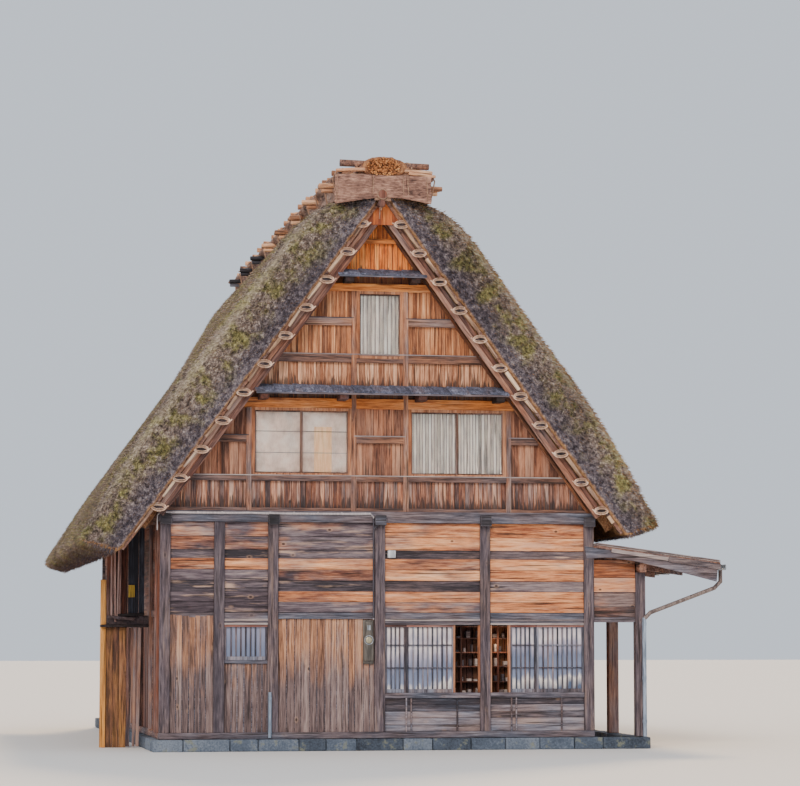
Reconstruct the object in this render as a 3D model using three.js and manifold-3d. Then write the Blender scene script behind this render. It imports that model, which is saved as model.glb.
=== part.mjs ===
// A thatched minka farmhouse with a steep praying-hands roof, in millimetres.
// +X is the viewer's right, +Y runs back along the ridge and +Z is up.
// The origin is on the ground under the ridge, at the middle of the front wall's thickness.
import * as THREE from "three";
import { mergeVertices } from "three/addons/utils/BufferGeometryUtils.js";
import Module from "manifold-3d";

const wasm = await Module();
wasm.setup();

// Driving dimensions of the timber grid
const BAY = 1970; // one ken of six and a half shaku
const HALF_BAY = BAY / 2;
const HALF_WIDTH = 2 * BAY; // ridge line to a side wall's posts
const LENGTH = 7 * BAY; // front wall to back wall
const POST = 190; // square section of a main post
const HALF_POST = POST / 2;
const VERANDA_X = HALF_WIDTH + HALF_BAY; // line of the veranda posts
const GAP = 0.3; // clearance between sloping pieces that rest on each other

// Heights above the ground
const FOOTING_TOP = 220;
const SILL_TOP = 335;
const LEDGE_BOTTOM = 945; // window ledge rail
const LEDGE_TOP = 1040;
const SMALL_WINDOW_BOTTOM = 1638;
const SMALL_LEDGE_BOTTOM = 1578;
const LINTEL_BOTTOM = 2276;
const BOARD_CHANGE = 2384; // upright boards below, lying boards above
const LINTEL_TOP = 2495;
const GIRT_BOTTOM = 4145;
const GIRT_TOP = 4345;

// Boarding: sheets set back from the posts' faces
const BOARD_FRONT = -20;
const BOARD_BACK = 20;

// Roof slopes, measured from the ridge: "down" runs down the slope and "out" stands square to it
const PITCH = THREE.MathUtils.degToRad(54);
const APEX = 10200; // where the two undersides of the thatch meet
const THATCH = 930; // thickness of the thatch, square to the slope
const VERGE = 480; // thatch beyond the gable walls
const PURLIN = 90;
const POLE = 60;
const RAFTER_DEPTH = 150;
const RAFTER_WIDTH = 160;
const BITE = 5; // how far crossing timbers are let into each other
const POLE_IN = -POLE;
const PURLIN_IN = POLE_IN - PURLIN;
const RAFTER_IN = PURLIN_IN - RAFTER_DEPTH;

// Colours of weathered timber, reed, stone, metal and glass
const finish = (color, roughness, metalness = 0) => ({ color, roughness, metalness });
const FINISHES = {
  stone: finish(0x7b8087, 0.95),
  post: finish(0x776d6c, 0.85),
  dark: finish(0x4a454a, 0.8),
  board: finish(0x9c7562, 0.85),
  cedar: finish(0xb87a48, 0.8),
  reed: finish(0x6a6455, 1),
  ridge: finish(0x9a7a62, 1),
  shingle: finish(0x5d6675, 0.75),
  lattice: finish(0x7f8da0, 0.7),
  glass: finish(0xd8d6cf, 0.1),
  metal: finish(0x9aa2ab, 0.45, 0.8),
};

// Solids

function solidOf(geometry) {
  const bare = geometry.clone();
  bare.deleteAttribute("normal");
  bare.deleteAttribute("uv");
  const merged = mergeVertices(bare, 1e-3);
  return new wasm.Manifold(
    new wasm.Mesh({
      numProp: 3,
      vertProperties: merged.attributes.position.array,
      triVerts: new Uint32Array(merged.index.array),
    }),
  );
}

// A box from one corner to the other
function box(x0, x1, y0, y1, z0, z1) {
  const geometry = new THREE.BoxGeometry(x1 - x0, y1 - y0, z1 - z0);
  geometry.translate((x0 + x1) / 2, (y0 + y1) / 2, (z0 + z1) / 2);
  return solidOf(geometry);
}

// An outline of [x, z] points, standing upright and running back from y0 to y1
function upright(points, y0, y1) {
  const shape = new THREE.Shape(points.map(([x, z]) => new THREE.Vector2(x, z)));
  const geometry = new THREE.ExtrudeGeometry(shape, { depth: y1 - y0, bevelEnabled: false });
  geometry.rotateX(Math.PI / 2);
  geometry.translate(0, y1, 0);
  return solidOf(geometry);
}

// An outline of [y, z] points, running across from x0 to x1
function sideways(points, x0, x1) {
  const shape = new THREE.Shape(points.map(([y, z]) => new THREE.Vector2(y, z)));
  const geometry = new THREE.ExtrudeGeometry(shape, { depth: x1 - x0, bevelEnabled: false });
  geometry.applyMatrix4(
    new THREE.Matrix4().makeBasis(
      new THREE.Vector3(0, 1, 0),
      new THREE.Vector3(0, 0, 1),
      new THREE.Vector3(1, 0, 0),
    ),
  );
  geometry.translate(x0, 0, 0);
  return solidOf(geometry);
}

const union = (solids) => solids.reduce((sum, next) => sum.add(next));
const cutFrom = (solid, cutters) => cutters.reduce((left, cutter) => left.subtract(cutter), solid);
const mirrored = (solid) => solid.mirror([1, 0, 0]);
const turnedBack = (solid) => solid.rotate([0, 0, 180]).translate([0, LENGTH, 0]);
const range = (count, first = 0) => Array.from({ length: count }, (_, i) => first + i);

// A skin over matching rings of points, closed at both ends by the given triangles of a ring
function skin(rings, capFaces) {
  const size = rings[0].length;
  const last = (rings.length - 1) * size;
  const faces = [];
  for (let r = 0; r + 1 < rings.length; r++)
    for (let i = 0; i < size; i++) {
      const a = r * size + i;
      const b = r * size + ((i + 1) % size);
      faces.push([a, b, b + size], [a, b + size, a + size]);
    }
  for (const [a, b, c] of capFaces) faces.push([a, c, b], [last + a, last + b, last + c]);
  const close = (triangles) => {
    const geometry = new THREE.BufferGeometry();
    geometry.setAttribute("position", new THREE.Float32BufferAttribute(rings.flat(2), 3));
    geometry.setIndex(triangles.flat());
    return solidOf(geometry);
  };
  const made = close(faces);
  return made.volume() > 0 ? made : close(faces.map(([a, b, c]) => [a, c, b]));
}

// A skin over rings of [x, z] points, each ring at its own y
function loft(rings) {
  const outline = rings[0].points.map(([x, z]) => new THREE.Vector2(x, z));
  return skin(
    rings.map(({ y, points }) => points.map(([x, z]) => [x, y, z])),
    THREE.ShapeUtils.triangulateShape(outline, []),
  );
}

// A round pipe along a path of [x, z] points at the given y, mitred at its bends
function pipe(path, y, radius) {
  const sides = 8;
  const points = path.map(([x, z]) => new THREE.Vector2(x, z));
  const rings = points.map((point, i) => {
    const into = point.clone().sub(points[Math.max(i - 1, 0)]).normalize();
    const out = points[Math.min(i + 1, points.length - 1)].clone().sub(point).normalize();
    const along = into.clone().add(out).normalize();
    const bend = Math.max(along.dot(into), along.dot(out));
    const across = new THREE.Vector2(-along.y, along.x).multiplyScalar(radius / bend);
    return range(sides).map((k) => {
      const turn = (2 * Math.PI * (k + 0.5)) / sides;
      const spot = point.clone().addScaledVector(across, Math.cos(turn));
      return [spot.x, y + radius * Math.sin(turn), spot.y];
    });
  });
  return skin(rings, range(sides - 2, 1).map((k) => [0, k, k + 1]));
}

// The group, and one named mesh for each piece

const house = new THREE.Group();

function add(name, finishName, solid) {
  const made = solid.getMesh();
  const step = made.numProp;
  const positions = new Float32Array(made.numVert * 3);
  for (let i = 0; i < made.numVert; i++)
    positions.set(made.vertProperties.subarray(i * step, i * step + 3), i * 3);
  const geometry = new THREE.BufferGeometry();
  geometry.setAttribute("position", new THREE.BufferAttribute(positions, 3));
  geometry.setIndex(new THREE.BufferAttribute(made.triVerts, 1));
  geometry.computeVertexNormals();
  const mesh = new THREE.Mesh(geometry, new THREE.MeshStandardMaterial(FINISHES[finishName]));
  mesh.name = name;
  house.add(mesh);
  return solid;
}

// Slopes: a point on the right-hand slope, "down" from the ridge and "out" from the thatch's underside
const SIN = Math.sin(PITCH);
const COS = Math.cos(PITCH);
const onSlope = (down, out) => [COS * down + SIN * out, APEX - SIN * down + COS * out];
// How far from the ridge line a plane parallel to the slope is, at height z
const reachAt = (z, out) => (out + COS * (APEX - z)) / SIN;

// Ground works

const FOOTING_OUT = 220;
const FOOTING_IN = 200;
const KERB = 150;

function stoneFooting() {
  const outer = box(-HALF_WIDTH - FOOTING_OUT, HALF_WIDTH + FOOTING_OUT,
    -FOOTING_OUT, LENGTH + FOOTING_OUT, 0, FOOTING_TOP);
  const room = box(-HALF_WIDTH + FOOTING_IN, HALF_WIDTH - FOOTING_IN,
    FOOTING_IN, LENGTH - FOOTING_IN, -1, FOOTING_TOP + 1);
  const kerb = box(VERANDA_X - KERB, VERANDA_X + KERB, -FOOTING_OUT, LENGTH + FOOTING_OUT, 0, FOOTING_TOP);
  const link = (y0, y1) => box(HALF_WIDTH + FOOTING_OUT - 1, VERANDA_X - KERB + 1, y0, y1, 0, FOOTING_TOP);
  return union([
    outer.subtract(room),
    kerb,
    link(-FOOTING_OUT, -FOOTING_OUT + KERB),
    link(LENGTH + FOOTING_OUT - KERB, LENGTH + FOOTING_OUT),
  ]);
}

const INSIDE = HALF_WIDTH - HALF_POST; // inner face of a side wall
const FLOOR_TOP = 340;

add("stone_footing", "stone", stoneFooting());
add("ground_floor", "board", box(-INSIDE, INSIDE, HALF_POST, LENGTH - HALF_POST, FOOTING_TOP, FLOOR_TOP));

// Front wall: boards behind proud posts

const POST_LINES = [-2 * BAY, -1.5 * BAY, -BAY, 0, BAY, 2 * BAY];
const OUTSIDE = HALF_WIDTH + HALF_POST;
const RAIL_FRONT = -62;
const RAIL_BACK = 45;

// Stretch between two posts of the front wall, left to right
const between = (left, right) => [POST_LINES[left] + HALF_POST, POST_LINES[right] - HALF_POST];
const rail = ([x0, x1], z0, z1) => box(x0, x1, RAIL_FRONT, RAIL_BACK, z0, z1);
const BAY_B = between(1, 2);
const BAY_C = between(2, 3);
const BAY_D = between(3, 4);
const BAY_E = between(4, 5);

function upperBoards() {
  return union([
    box(-HALF_WIDTH, HALF_WIDTH, BOARD_FRONT, BOARD_BACK, BOARD_CHANGE, GIRT_BOTTOM),
    rail(BAY_B, LINTEL_BOTTOM, LINTEL_TOP),
    rail(BAY_C, BOARD_CHANGE, LINTEL_TOP),
    rail(BAY_D, LINTEL_BOTTOM, LINTEL_TOP),
    rail(BAY_E, LINTEL_BOTTOM, LINTEL_TOP),
  ]);
}

function lowerBoardsLeft() {
  const sheet = box(-HALF_WIDTH, 0, BOARD_FRONT, BOARD_BACK, SILL_TOP, BOARD_CHANGE);
  const window = box(...BAY_B, -POST, POST, SMALL_WINDOW_BOTTOM, BOARD_CHANGE + 1);
  const ledge = rail(BAY_B, SMALL_LEDGE_BOTTOM, SMALL_WINDOW_BOTTOM);
  return sheet.subtract(window).add(ledge);
}

function lowerBoardsRight() {
  return union([
    box(0, HALF_WIDTH, BOARD_FRONT, BOARD_BACK, SILL_TOP, LEDGE_BOTTOM + 1),
    rail(BAY_D, LEDGE_BOTTOM, LEDGE_TOP),
    rail(BAY_E, LEDGE_BOTTOM, LEDGE_TOP),
  ]);
}

// A post, whole where it stands beside an open window and halved round the boards elsewhere
function frontPost(x, wholeFrom) {
  const face = box(x - HALF_POST, x + HALF_POST, -HALF_POST, BOARD_FRONT, SILL_TOP, GIRT_BOTTOM);
  if (wholeFrom === undefined) return face;
  return face.add(
    box(wholeFrom, x + HALF_POST, BOARD_FRONT - 1, HALF_POST, LEDGE_BOTTOM + 1, BOARD_CHANGE),
  );
}

const GIRT_FRONT = -115;
const GIRT_OVER = 25; // beyond the corner posts
const HEAD_FRONT = -190;
const HEAD_HALF = 100;
const HEAD_BOTTOM = GIRT_BOTTOM - 50;
const HEAD_TOP = GIRT_TOP - 70;

function frontGirt() {
  const beam = box(-OUTSIDE - GIRT_OVER, OUTSIDE + GIRT_OVER, GIRT_FRONT, HALF_POST,
    GIRT_BOTTOM, GIRT_TOP);
  const heads = [-2 * BAY, -BAY, 0, BAY, 2 * BAY].map((x) =>
    box(x - HEAD_HALF, x + HEAD_HALF, HEAD_FRONT, GIRT_FRONT + 1, HEAD_BOTTOM, HEAD_TOP),
  );
  return union([beam, ...heads]);
}

add("front_sill", "post", box(-OUTSIDE, OUTSIDE, -HALF_POST, HALF_POST, FOOTING_TOP, SILL_TOP));
add("front_upper_boards", "board", upperBoards());
add("front_lower_boards_left", "board", lowerBoardsLeft());
add("front_lower_boards_right", "board", lowerBoardsRight());
POST_LINES.forEach((x, i) => {
  const wholeFrom = [undefined, undefined, undefined, 0, x - HALF_POST, x - HALF_POST][i];
  add(`front_post_${i + 1}`, "post", frontPost(x, wholeFrom));
});
add("front_girt", "dark", frontGirt());

// Lattice screens: a frame, upright bars and cross rails on a thin pane

const SCREEN_FRONT = -45;
const BAR_FRONT = -37;
const CROSS_FRONT = -41;
const PANE_FRONT = -5;
const PANE_BACK = 7;
const STILE = 42;
const FOOT_RAIL = 67;
const BAR = 34;
const BAR_PITCH = 88;
const CROSS_RAIL = 22;

function latticeLeaf(x0, x1, z0, z1, crossHeights) {
  const bars = Math.round((x1 - x0 - 2 * STILE) / BAR_PITCH) - 1;
  const pitch = (x1 - x0 - 2 * STILE) / (bars + 1);
  return union([
    box(x0, x1, PANE_FRONT, PANE_BACK, z0, z1),
    box(x0, x0 + STILE, SCREEN_FRONT, PANE_BACK, z0, z1),
    box(x1 - STILE, x1, SCREEN_FRONT, PANE_BACK, z0, z1),
    box(x0, x1, SCREEN_FRONT, PANE_BACK, z0, z0 + FOOT_RAIL),
    box(x0, x1, SCREEN_FRONT, PANE_BACK, z1 - STILE, z1),
    ...range(bars, 1).map((i) => {
      const x = x0 + STILE + i * pitch;
      return box(x - BAR / 2, x + BAR / 2, BAR_FRONT, PANE_FRONT, z0, z1);
    }),
    ...crossHeights.map((z) => box(x0, x1, CROSS_FRONT, PANE_FRONT, z, z + CROSS_RAIL)),
  ]);
}

const CROSS_HEIGHTS = [1482, 1898];
const SCREEN_D = [BAY_D[0], 496, 1390]; // left edge, meeting stile, open edge
const SCREEN_E = [2441, 2941, BAY_E[1]];
const screen = ([x0, x1, x2]) =>
  latticeLeaf(x0, x1, LEDGE_TOP, LINTEL_BOTTOM, CROSS_HEIGHTS)
    .add(latticeLeaf(x1, x2, LEDGE_TOP, LINTEL_BOTTOM, CROSS_HEIGHTS));

add("lattice_window_small", "lattice",
  latticeLeaf(...BAY_B, SMALL_WINDOW_BOTTOM, LINTEL_BOTTOM, []));
add("lattice_screen_left", "lattice", screen(SCREEN_D));
add("lattice_screen_right", "lattice", screen(SCREEN_E));

// Side and back walls: boards with posts and a rail proud of them, on a sill and under a girt

const RAIL_HALF = 60;

// One wall lying along X from x0 to x1, its outer side towards -Y, with posts on the given lines
function plainWall(x0, x1, lines) {
  const posts = lines.map((x) =>
    box(Math.max(x - HALF_POST, x0), Math.min(x + HALF_POST, x1), -HALF_POST, BOARD_FRONT + 1,
      SILL_TOP - 1, GIRT_BOTTOM),
  );
  return union([
    box(x0, x1, -HALF_POST, HALF_POST, FOOTING_TOP, SILL_TOP),
    box(x0, x1, BOARD_FRONT, BOARD_BACK, SILL_TOP - 1, GIRT_BOTTOM),
    box(x0, x1, RAIL_FRONT, BOARD_BACK, LINTEL_TOP - RAIL_HALF, LINTEL_TOP + RAIL_HALF),
    ...posts,
  ]);
}
const plainGirt = (x0, x1) => box(x0, x1, -HALF_POST, HALF_POST, GIRT_BOTTOM, GIRT_TOP);

// Turns a wall made along X so that it faces left or right
const facingLeft = (solid) => solid.rotate([0, 0, -90]).translate([-HALF_WIDTH, 0, 0]);
const facingRight = (solid) => solid.rotate([0, 0, 90]).translate([HALF_WIDTH, 0, 0]);

const SIDE_SPAN = [HALF_POST, LENGTH - HALF_POST];
const sideLines = range(6, 1).map((i) => i * BAY);
const negated = ([a, b]) => [-b, -a];

add("left_wall", "post", facingLeft(plainWall(...negated(SIDE_SPAN), sideLines.map((y) => -y))));
add("left_girt", "post", facingLeft(plainGirt(...negated(SIDE_SPAN))));
add("right_wall", "post", facingRight(plainWall(...SIDE_SPAN, sideLines)));
add("right_girt", "post", facingRight(plainGirt(...SIDE_SPAN)));
add("back_wall", "post", turnedBack(plainWall(-OUTSIDE, OUTSIDE, POST_LINES.map((x) => -x))));
add("back_girt", "post", turnedBack(plainGirt(-OUTSIDE, OUTSIDE)));

// Upper floors, let in between the girts and between the rafters

const PLANKS = 60;
const LOFT_TOP = 6560;
const FLOOR_IN = 41;
const loftReach = (z) => reachAt(z, RAFTER_IN - GAP);

add("attic_floor", "board",
  box(-INSIDE, INSIDE, HALF_POST, LENGTH - HALF_POST, GIRT_TOP - PLANKS, GIRT_TOP));
add("loft_floor", "board",
  upright([
    [-loftReach(LOFT_TOP - PLANKS), LOFT_TOP - PLANKS],
    [loftReach(LOFT_TOP - PLANKS), LOFT_TOP - PLANKS],
    [loftReach(LOFT_TOP), LOFT_TOP],
    [-loftReach(LOFT_TOP), LOFT_TOP],
  ], FLOOR_IN, LENGTH - FLOOR_IN));

// Gable walls: upright boards inside the rafters, with posts, rails and brackets in front

const GABLE_BACK = 40; // boards from y 0 to here
const GABLE_FRONT = -60; // face of the posts and rails
const OUTER_POST = 2425;
const INNER_POST = 485;
const SLIM_POST = 90;
const WINDOW_BOTTOM = 4995;
const WINDOW_TOP = 6240;
const HEADER_TOP = 6420;
const TOP_WINDOW_BOTTOM = 7170;
const TOP_WINDOW_TOP = 8420;
const TOP_HEADER_TOP = 8560;
const BATTEN_OUT = -200; // sloping battens along the boards' edges
const BATTEN_IN = -265;
const boardReach = (z) => reachAt(z, PURLIN_IN - GAP);
const railReach = (z) => reachAt(z, (BATTEN_OUT + BATTEN_IN) / 2);
const WIDE_WINDOW = [-OUTER_POST + SLIM_POST / 2, -INNER_POST - SLIM_POST / 2];
const TOP_WINDOW = [-INNER_POST + SLIM_POST / 2, INNER_POST - SLIM_POST / 2];

// Rails right across the gable, each by the heights of its two edges
const GABLE_RAILS = [
  [GIRT_TOP, GIRT_TOP + 60],
  [WINDOW_BOTTOM - 95, WINDOW_BOTTOM],
  [5606, 5727],
  [WINDOW_TOP, HEADER_TOP],
  [TOP_WINDOW_BOTTOM - 75, TOP_WINDOW_BOTTOM + 70],
  [7780, 7915],
  [TOP_WINDOW_TOP, TOP_HEADER_TOP],
  [9314, 9398],
];

// Pent roofs: reach in front of the wall line, half length, height of the front edge and so on
const MIDDLE_PENT = {
  reach: 500, half: 2345, edge: 6455, rise: 0.364, thick: 36,
  brackets: [730, 2190], width: 170, depth: 110,
};
const TOP_PENT = {
  reach: 400, half: 820, edge: 8640, rise: 0.4, thick: 32,
  brackets: [620], width: 140, depth: 108,
};
const BRACKET_BACK = 25; // brackets end this far behind the roof's edge

// Height of a pent roof's underside where it lies y in front of the wall line
const pentUnder = (pent, y) => pent.edge + (y + pent.reach) * pent.rise;

function gableBoards() {
  const sheet = upright([
    [-boardReach(GIRT_TOP), GIRT_TOP],
    [boardReach(GIRT_TOP), GIRT_TOP],
    [0, APEX + (PURLIN_IN - GAP) / COS],
  ], 0, GABLE_BACK);
  const wide = box(...WIDE_WINDOW, -1, GABLE_BACK + 1, WINDOW_BOTTOM, WINDOW_TOP);
  const high = box(...TOP_WINDOW, -1, GABLE_BACK + 1, TOP_WINDOW_BOTTOM, TOP_WINDOW_TOP);
  return cutFrom(sheet, [wide, mirrored(wide), high]);
}

// A rail right across the gable, its ends cut to the slope
function gableRail([z0, z1]) {
  return upright([
    [-railReach(z0), z0],
    [railReach(z0), z0],
    [railReach(z1), z1],
    [-railReach(z1), z1],
  ], GABLE_FRONT, 0);
}

// The pair of sloping battens, meeting at the top
function edgeBattens() {
  const sloping = (z, out) => [reachAt(z, out), z];
  const right = [
    sloping(GIRT_TOP, BATTEN_OUT),
    [0, APEX + BATTEN_OUT / COS],
    [0, APEX + BATTEN_IN / COS],
    sloping(GIRT_TOP, BATTEN_IN),
  ];
  const batten = upright(right, GABLE_FRONT, 0);
  return batten.add(mirrored(batten));
}

// The brackets under a pent roof, their tops following the roof
function brackets(pent) {
  const front = -pent.reach + BRACKET_BACK;
  const outline = [
    [GABLE_FRONT + 1, pent.edge - pent.depth],
    [GABLE_FRONT + 1, pentUnder(pent, GABLE_FRONT) - GAP],
    [front, pentUnder(pent, front) - GAP],
    [front, pent.edge - pent.depth],
  ];
  return pent.brackets.flatMap((x) => {
    const right = sideways(outline, x - pent.width / 2, x + pent.width / 2);
    return [right, mirrored(right)];
  });
}

function gableFrame() {
  const openings = [
    box(...WIDE_WINDOW, GABLE_FRONT - 1, 1, WINDOW_BOTTOM, WINDOW_TOP),
    mirrored(box(...WIDE_WINDOW, GABLE_FRONT - 1, 1, WINDOW_BOTTOM, WINDOW_TOP)),
    box(...TOP_WINDOW, GABLE_FRONT - 1, 1, TOP_WINDOW_BOTTOM, TOP_WINDOW_TOP),
  ];
  const post = (x, z0, z1) => box(x - SLIM_POST / 2, x + SLIM_POST / 2, GABLE_FRONT, 0, z0, z1);
  const members = union([
    edgeBattens(),
    ...GABLE_RAILS.map(gableRail),
    ...[-INNER_POST, INNER_POST].map((x) => post(x, GIRT_TOP, TOP_HEADER_TOP)),
    ...[-OUTER_POST, OUTER_POST].map((x) => post(x, GIRT_TOP, HEADER_TOP)),
  ]);
  return union([cutFrom(members, openings), ...brackets(MIDDLE_PENT), ...brackets(TOP_PENT)]);
}

function pentRoof(pent) {
  const wall = pentUnder(pent, GABLE_FRONT);
  return sideways([
    [GABLE_FRONT, wall],
    [-pent.reach, pent.edge],
    [-pent.reach, pent.edge + pent.thick],
    [GABLE_FRONT, wall + pent.thick],
  ], -pent.half, pent.half);
}

// A sash with its stiles, and the sheet of glass behind its mullion
const SASH = 62;
const SASH_RAIL = 18;
const SASH_FRONT = -40;
const SASH_BACK = 45;
const MULLION_HALF = 23;
const MULLION_FRONT = -24;
const GLASS = [0, 8];

function sash([x0, x1], z0, z1, mullion) {
  const ring = box(x0, x1, SASH_FRONT, SASH_BACK, z0, z1)
    .subtract(box(x0 + SASH, x1 - SASH, SASH_FRONT - 1, SASH_BACK + 1,
      z0 + SASH_RAIL, z1 - SASH_RAIL));
  if (!mullion) return ring;
  const middle = (x0 + x1) / 2;
  return ring.add(box(middle - MULLION_HALF, middle + MULLION_HALF, MULLION_FRONT, GLASS[0],
    z0 + SASH_RAIL - 1, z1 - SASH_RAIL + 1));
}
const glass = ([x0, x1], z0, z1) =>
  box(x0 + SASH - 1, x1 - SASH + 1, ...GLASS, z0 + SASH_RAIL - 1, z1 - SASH_RAIL + 1);

add("gable_boards", "board", gableBoards());
add("gable_frame", "cedar", gableFrame());
add("middle_pent_roof", "shingle", pentRoof(MIDDLE_PENT));
add("top_pent_roof", "shingle", pentRoof(TOP_PENT));
const RIGHT_WINDOW = negated(WIDE_WINDOW);
const gableWindow = (span, z0, z1, mullion) => sash(span, z0, z1, mullion).add(glass(span, z0, z1));
add("gable_window_left", "glass", gableWindow(WIDE_WINDOW, WINDOW_BOTTOM, WINDOW_TOP, true));
add("gable_window_right", "glass", gableWindow(RIGHT_WINDOW, WINDOW_BOTTOM, WINDOW_TOP, true));
add("gable_window_top", "glass", gableWindow(TOP_WINDOW, TOP_WINDOW_BOTTOM, TOP_WINDOW_TOP, false));

add("rear_gable_wall", "cedar", turnedBack(gableBoards().add(gableFrame())));
add("rear_middle_pent_roof", "shingle", turnedBack(pentRoof(MIDDLE_PENT)));
add("rear_top_pent_roof", "shingle", turnedBack(pentRoof(TOP_PENT)));
const rearWindow = (...sizes) => turnedBack(gableWindow(...sizes));
add("rear_window_left", "glass", rearWindow(RIGHT_WINDOW, WINDOW_BOTTOM, WINDOW_TOP, true));
add("rear_window_right", "glass", rearWindow(WIDE_WINDOW, WINDOW_BOTTOM, WINDOW_TOP, true));
add("rear_window_top", "glass", rearWindow(TOP_WINDOW, TOP_WINDOW_BOTTOM, TOP_WINDOW_TOP, false));

// Roof frame: rafters on each post line, purlins across them, and a thin pole down each verge

const PURLIN_FIRST = 580;
const PURLIN_PITCH = 648;
const PURLIN_COUNT = 11;
const POLE_HEEL = 60; // how far a verge pole runs over the ridge line
const RAFTER_SPARE = 600; // cut off again at the ridge line and on the girt
const FAR = 20000; // beyond the house on every side
const PURLIN_OVER = VERGE - 80; // purlins beyond the gable wall
const VERGE_POLE = VERGE - 110; // thin pole nearest the verge

// A bar down the slope between two heights out from it, y0 to y1
function slopeBar(down0, down1, out0, out1, y0, y1) {
  return upright([
    onSlope(down0, out0),
    onSlope(down0, out1),
    onSlope(down1, out1),
    onSlope(down1, out0),
  ], y0, y1);
}

// Everything on the right of the ridge plane
const rightHalf = box(GAP / 2, FAR, -FAR, FAR, 0, FAR);

function roofFrame(poleEnd) {
  const rafterEnd = (APEX - GIRT_TOP) / SIN;
  const foot = box(0, FAR, -FAR, FAR, 0, GIRT_TOP);
  const endRafter = GABLE_BACK + GAP + RAFTER_WIDTH / 2;
  const rafters = range(8).map((i) => {
    const y = Math.min(Math.max(i * BAY, endRafter), LENGTH - endRafter);
    return slopeBar(-RAFTER_SPARE, rafterEnd + RAFTER_SPARE, RAFTER_IN, PURLIN_IN + BITE,
      y - RAFTER_WIDTH / 2, y + RAFTER_WIDTH / 2).subtract(foot);
  });
  const purlins = range(PURLIN_COUNT).map((i) => {
    const down = PURLIN_FIRST + i * PURLIN_PITCH;
    return slopeBar(down, down + PURLIN, PURLIN_IN, POLE_IN + BITE, -PURLIN_OVER, LENGTH + PURLIN_OVER);
  });
  const poles = [-VERGE_POLE, LENGTH + VERGE_POLE].map((y) =>
    slopeBar(-POLE_HEEL, poleEnd, POLE_IN, -GAP, y - POLE / 2, y + POLE / 2),
  );
  return union([...rafters, ...purlins, ...poles]).intersect(rightHalf);
}

// Thatch: one thick coat on each slope, rounded at the verges and cut square across the eave

const LEFT_EAVE = 8190; // down the slope to the eave's inner edge
const RIGHT_EAVE = 7760; // shorter, over the veranda roof
const EAVE_RISE = Math.tan(THREE.MathUtils.degToRad(17)); // the eave's cut face rises outwards
const SHOULDER = 1830; // where the thatch starts to round over towards the ridge
const SHOULDER_STEPS = [1500, 1200];
const CAP_EDGE = 900; // foot of the ridge cap
const SHOULDER_DROP = 510;
const THATCH_TOP = 10330;
const LEAST_OVER_APEX = 40;

const EAVE_THIN = 230; // worn thinner above the eave
const EAVE_WEAR = 1100; // over this stretch
const EAVE_STEPS = [60, 300, 650];
const REAR_THIN = 330; // settled most at the rear
const SETTLING = [1000, 2500]; // the settling comes in between these distances from the ridge
const WAVE = 25; // soft unevenness of the outer face
const FIELD_STEPS = 4;

const ROUND_DEEP = 350; // how far back from the verge the rounding runs
const ROUND_SHARE = 0.52; // how much of the thickness it takes
const ROUND_STEPS = [0, 0.04, 0.14, 0.3, 0.52, 0.76, 1];
const FIELD_RINGS = 10; // rings of the skin between the two roundings

const smoothly = (value, from, to) => THREE.MathUtils.smoothstep(value, from, to);

// Height of the thatch's outer face at x, for a coat of the given thickness
function outerHeight(x, coat) {
  const lean = Math.max(0, (SHOULDER - x) / (SHOULDER - CAP_EDGE));
  return APEX + coat / COS - Math.tan(PITCH) * x - SHOULDER_DROP * lean * lean;
}

// One ring of the skin at y; left is the share of the thickness that the verge's rounding leaves
function thatchRing(eave, y, left, turn) {
  const [eaveX, eaveZ] = onSlope(eave, 0);
  const settled = REAR_THIN * THREE.MathUtils.clamp(y / LENGTH, 0, 1);
  const eaveCoat = left * (THATCH - Math.hypot(EAVE_THIN, settled));
  const reach = (APEX + eaveCoat / COS - eaveZ + EAVE_RISE * eaveX) / (EAVE_RISE + Math.tan(PITCH));
  const lipZ = eaveZ + EAVE_RISE * (reach - eaveX);
  const wearTop = reach - EAVE_WEAR;

  const outer = (x, i) => {
    const field = smoothly(x, ...SETTLING);
    const worn = smoothly(x, wearTop, reach);
    const thin = Math.hypot(EAVE_THIN * worn, settled * field);
    const wave = left < 1 ? 0 : WAVE * field * (1 - worn) * Math.sin(1.9 * turn + 2.3 * i);
    return [x, outerHeight(x, left * (THATCH - thin + wave))];
  };

  const fieldSteps = range(FIELD_STEPS + 1).map((i) => wearTop - (i * (wearTop - SHOULDER)) / FIELD_STEPS);
  const steps = [...EAVE_STEPS.map((back) => reach - back), ...fieldSteps, ...SHOULDER_STEPS, CAP_EDGE];
  return [
    [GAP / 2, APEX],
    [eaveX, eaveZ],
    [reach - 90, lipZ - 90 * EAVE_RISE],
    [reach - 8, lipZ + 50],
    ...steps.map(outer),
    [GAP / 2, Math.max(THATCH_TOP - THATCH * (1 - left), APEX + LEAST_OVER_APEX)],
  ];
}

function thatch(eave) {
  const left = ROUND_STEPS.map((s) => 1 - ROUND_SHARE * (1 - Math.sqrt(1 - (1 - s) ** 2)));
  const front = ROUND_STEPS.map((s, i) => [-VERGE + s * ROUND_DEEP, left[i]]);
  const back = front.map(([y, share]) => [LENGTH - y, share]).reverse();
  const start = ROUND_DEEP - VERGE;
  const pitch = (LENGTH - 2 * start) / (FIELD_RINGS + 1);
  const field = range(FIELD_RINGS, 1).map((i) => [start + i * pitch, 1]);
  const rings = [...front, ...field, ...back];
  return loft(rings.map(([y, share], turn) => ({ y, points: thatchRing(eave, y, share, turn) })));
}

const POLE_SHORT = 80; // verge poles end this far above the eave

add("roof_frame_left", "cedar", mirrored(roofFrame(LEFT_EAVE - POLE_SHORT)));
add("roof_frame_right", "cedar", roofFrame(RIGHT_EAVE - POLE_SHORT));

// Ridge pole on the rafters' crossing, under the crossing of the verge poles
const RIDGE_POLE = 30; // half its width
const RIDGE_POLE_TOP = APEX - 150;

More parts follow.
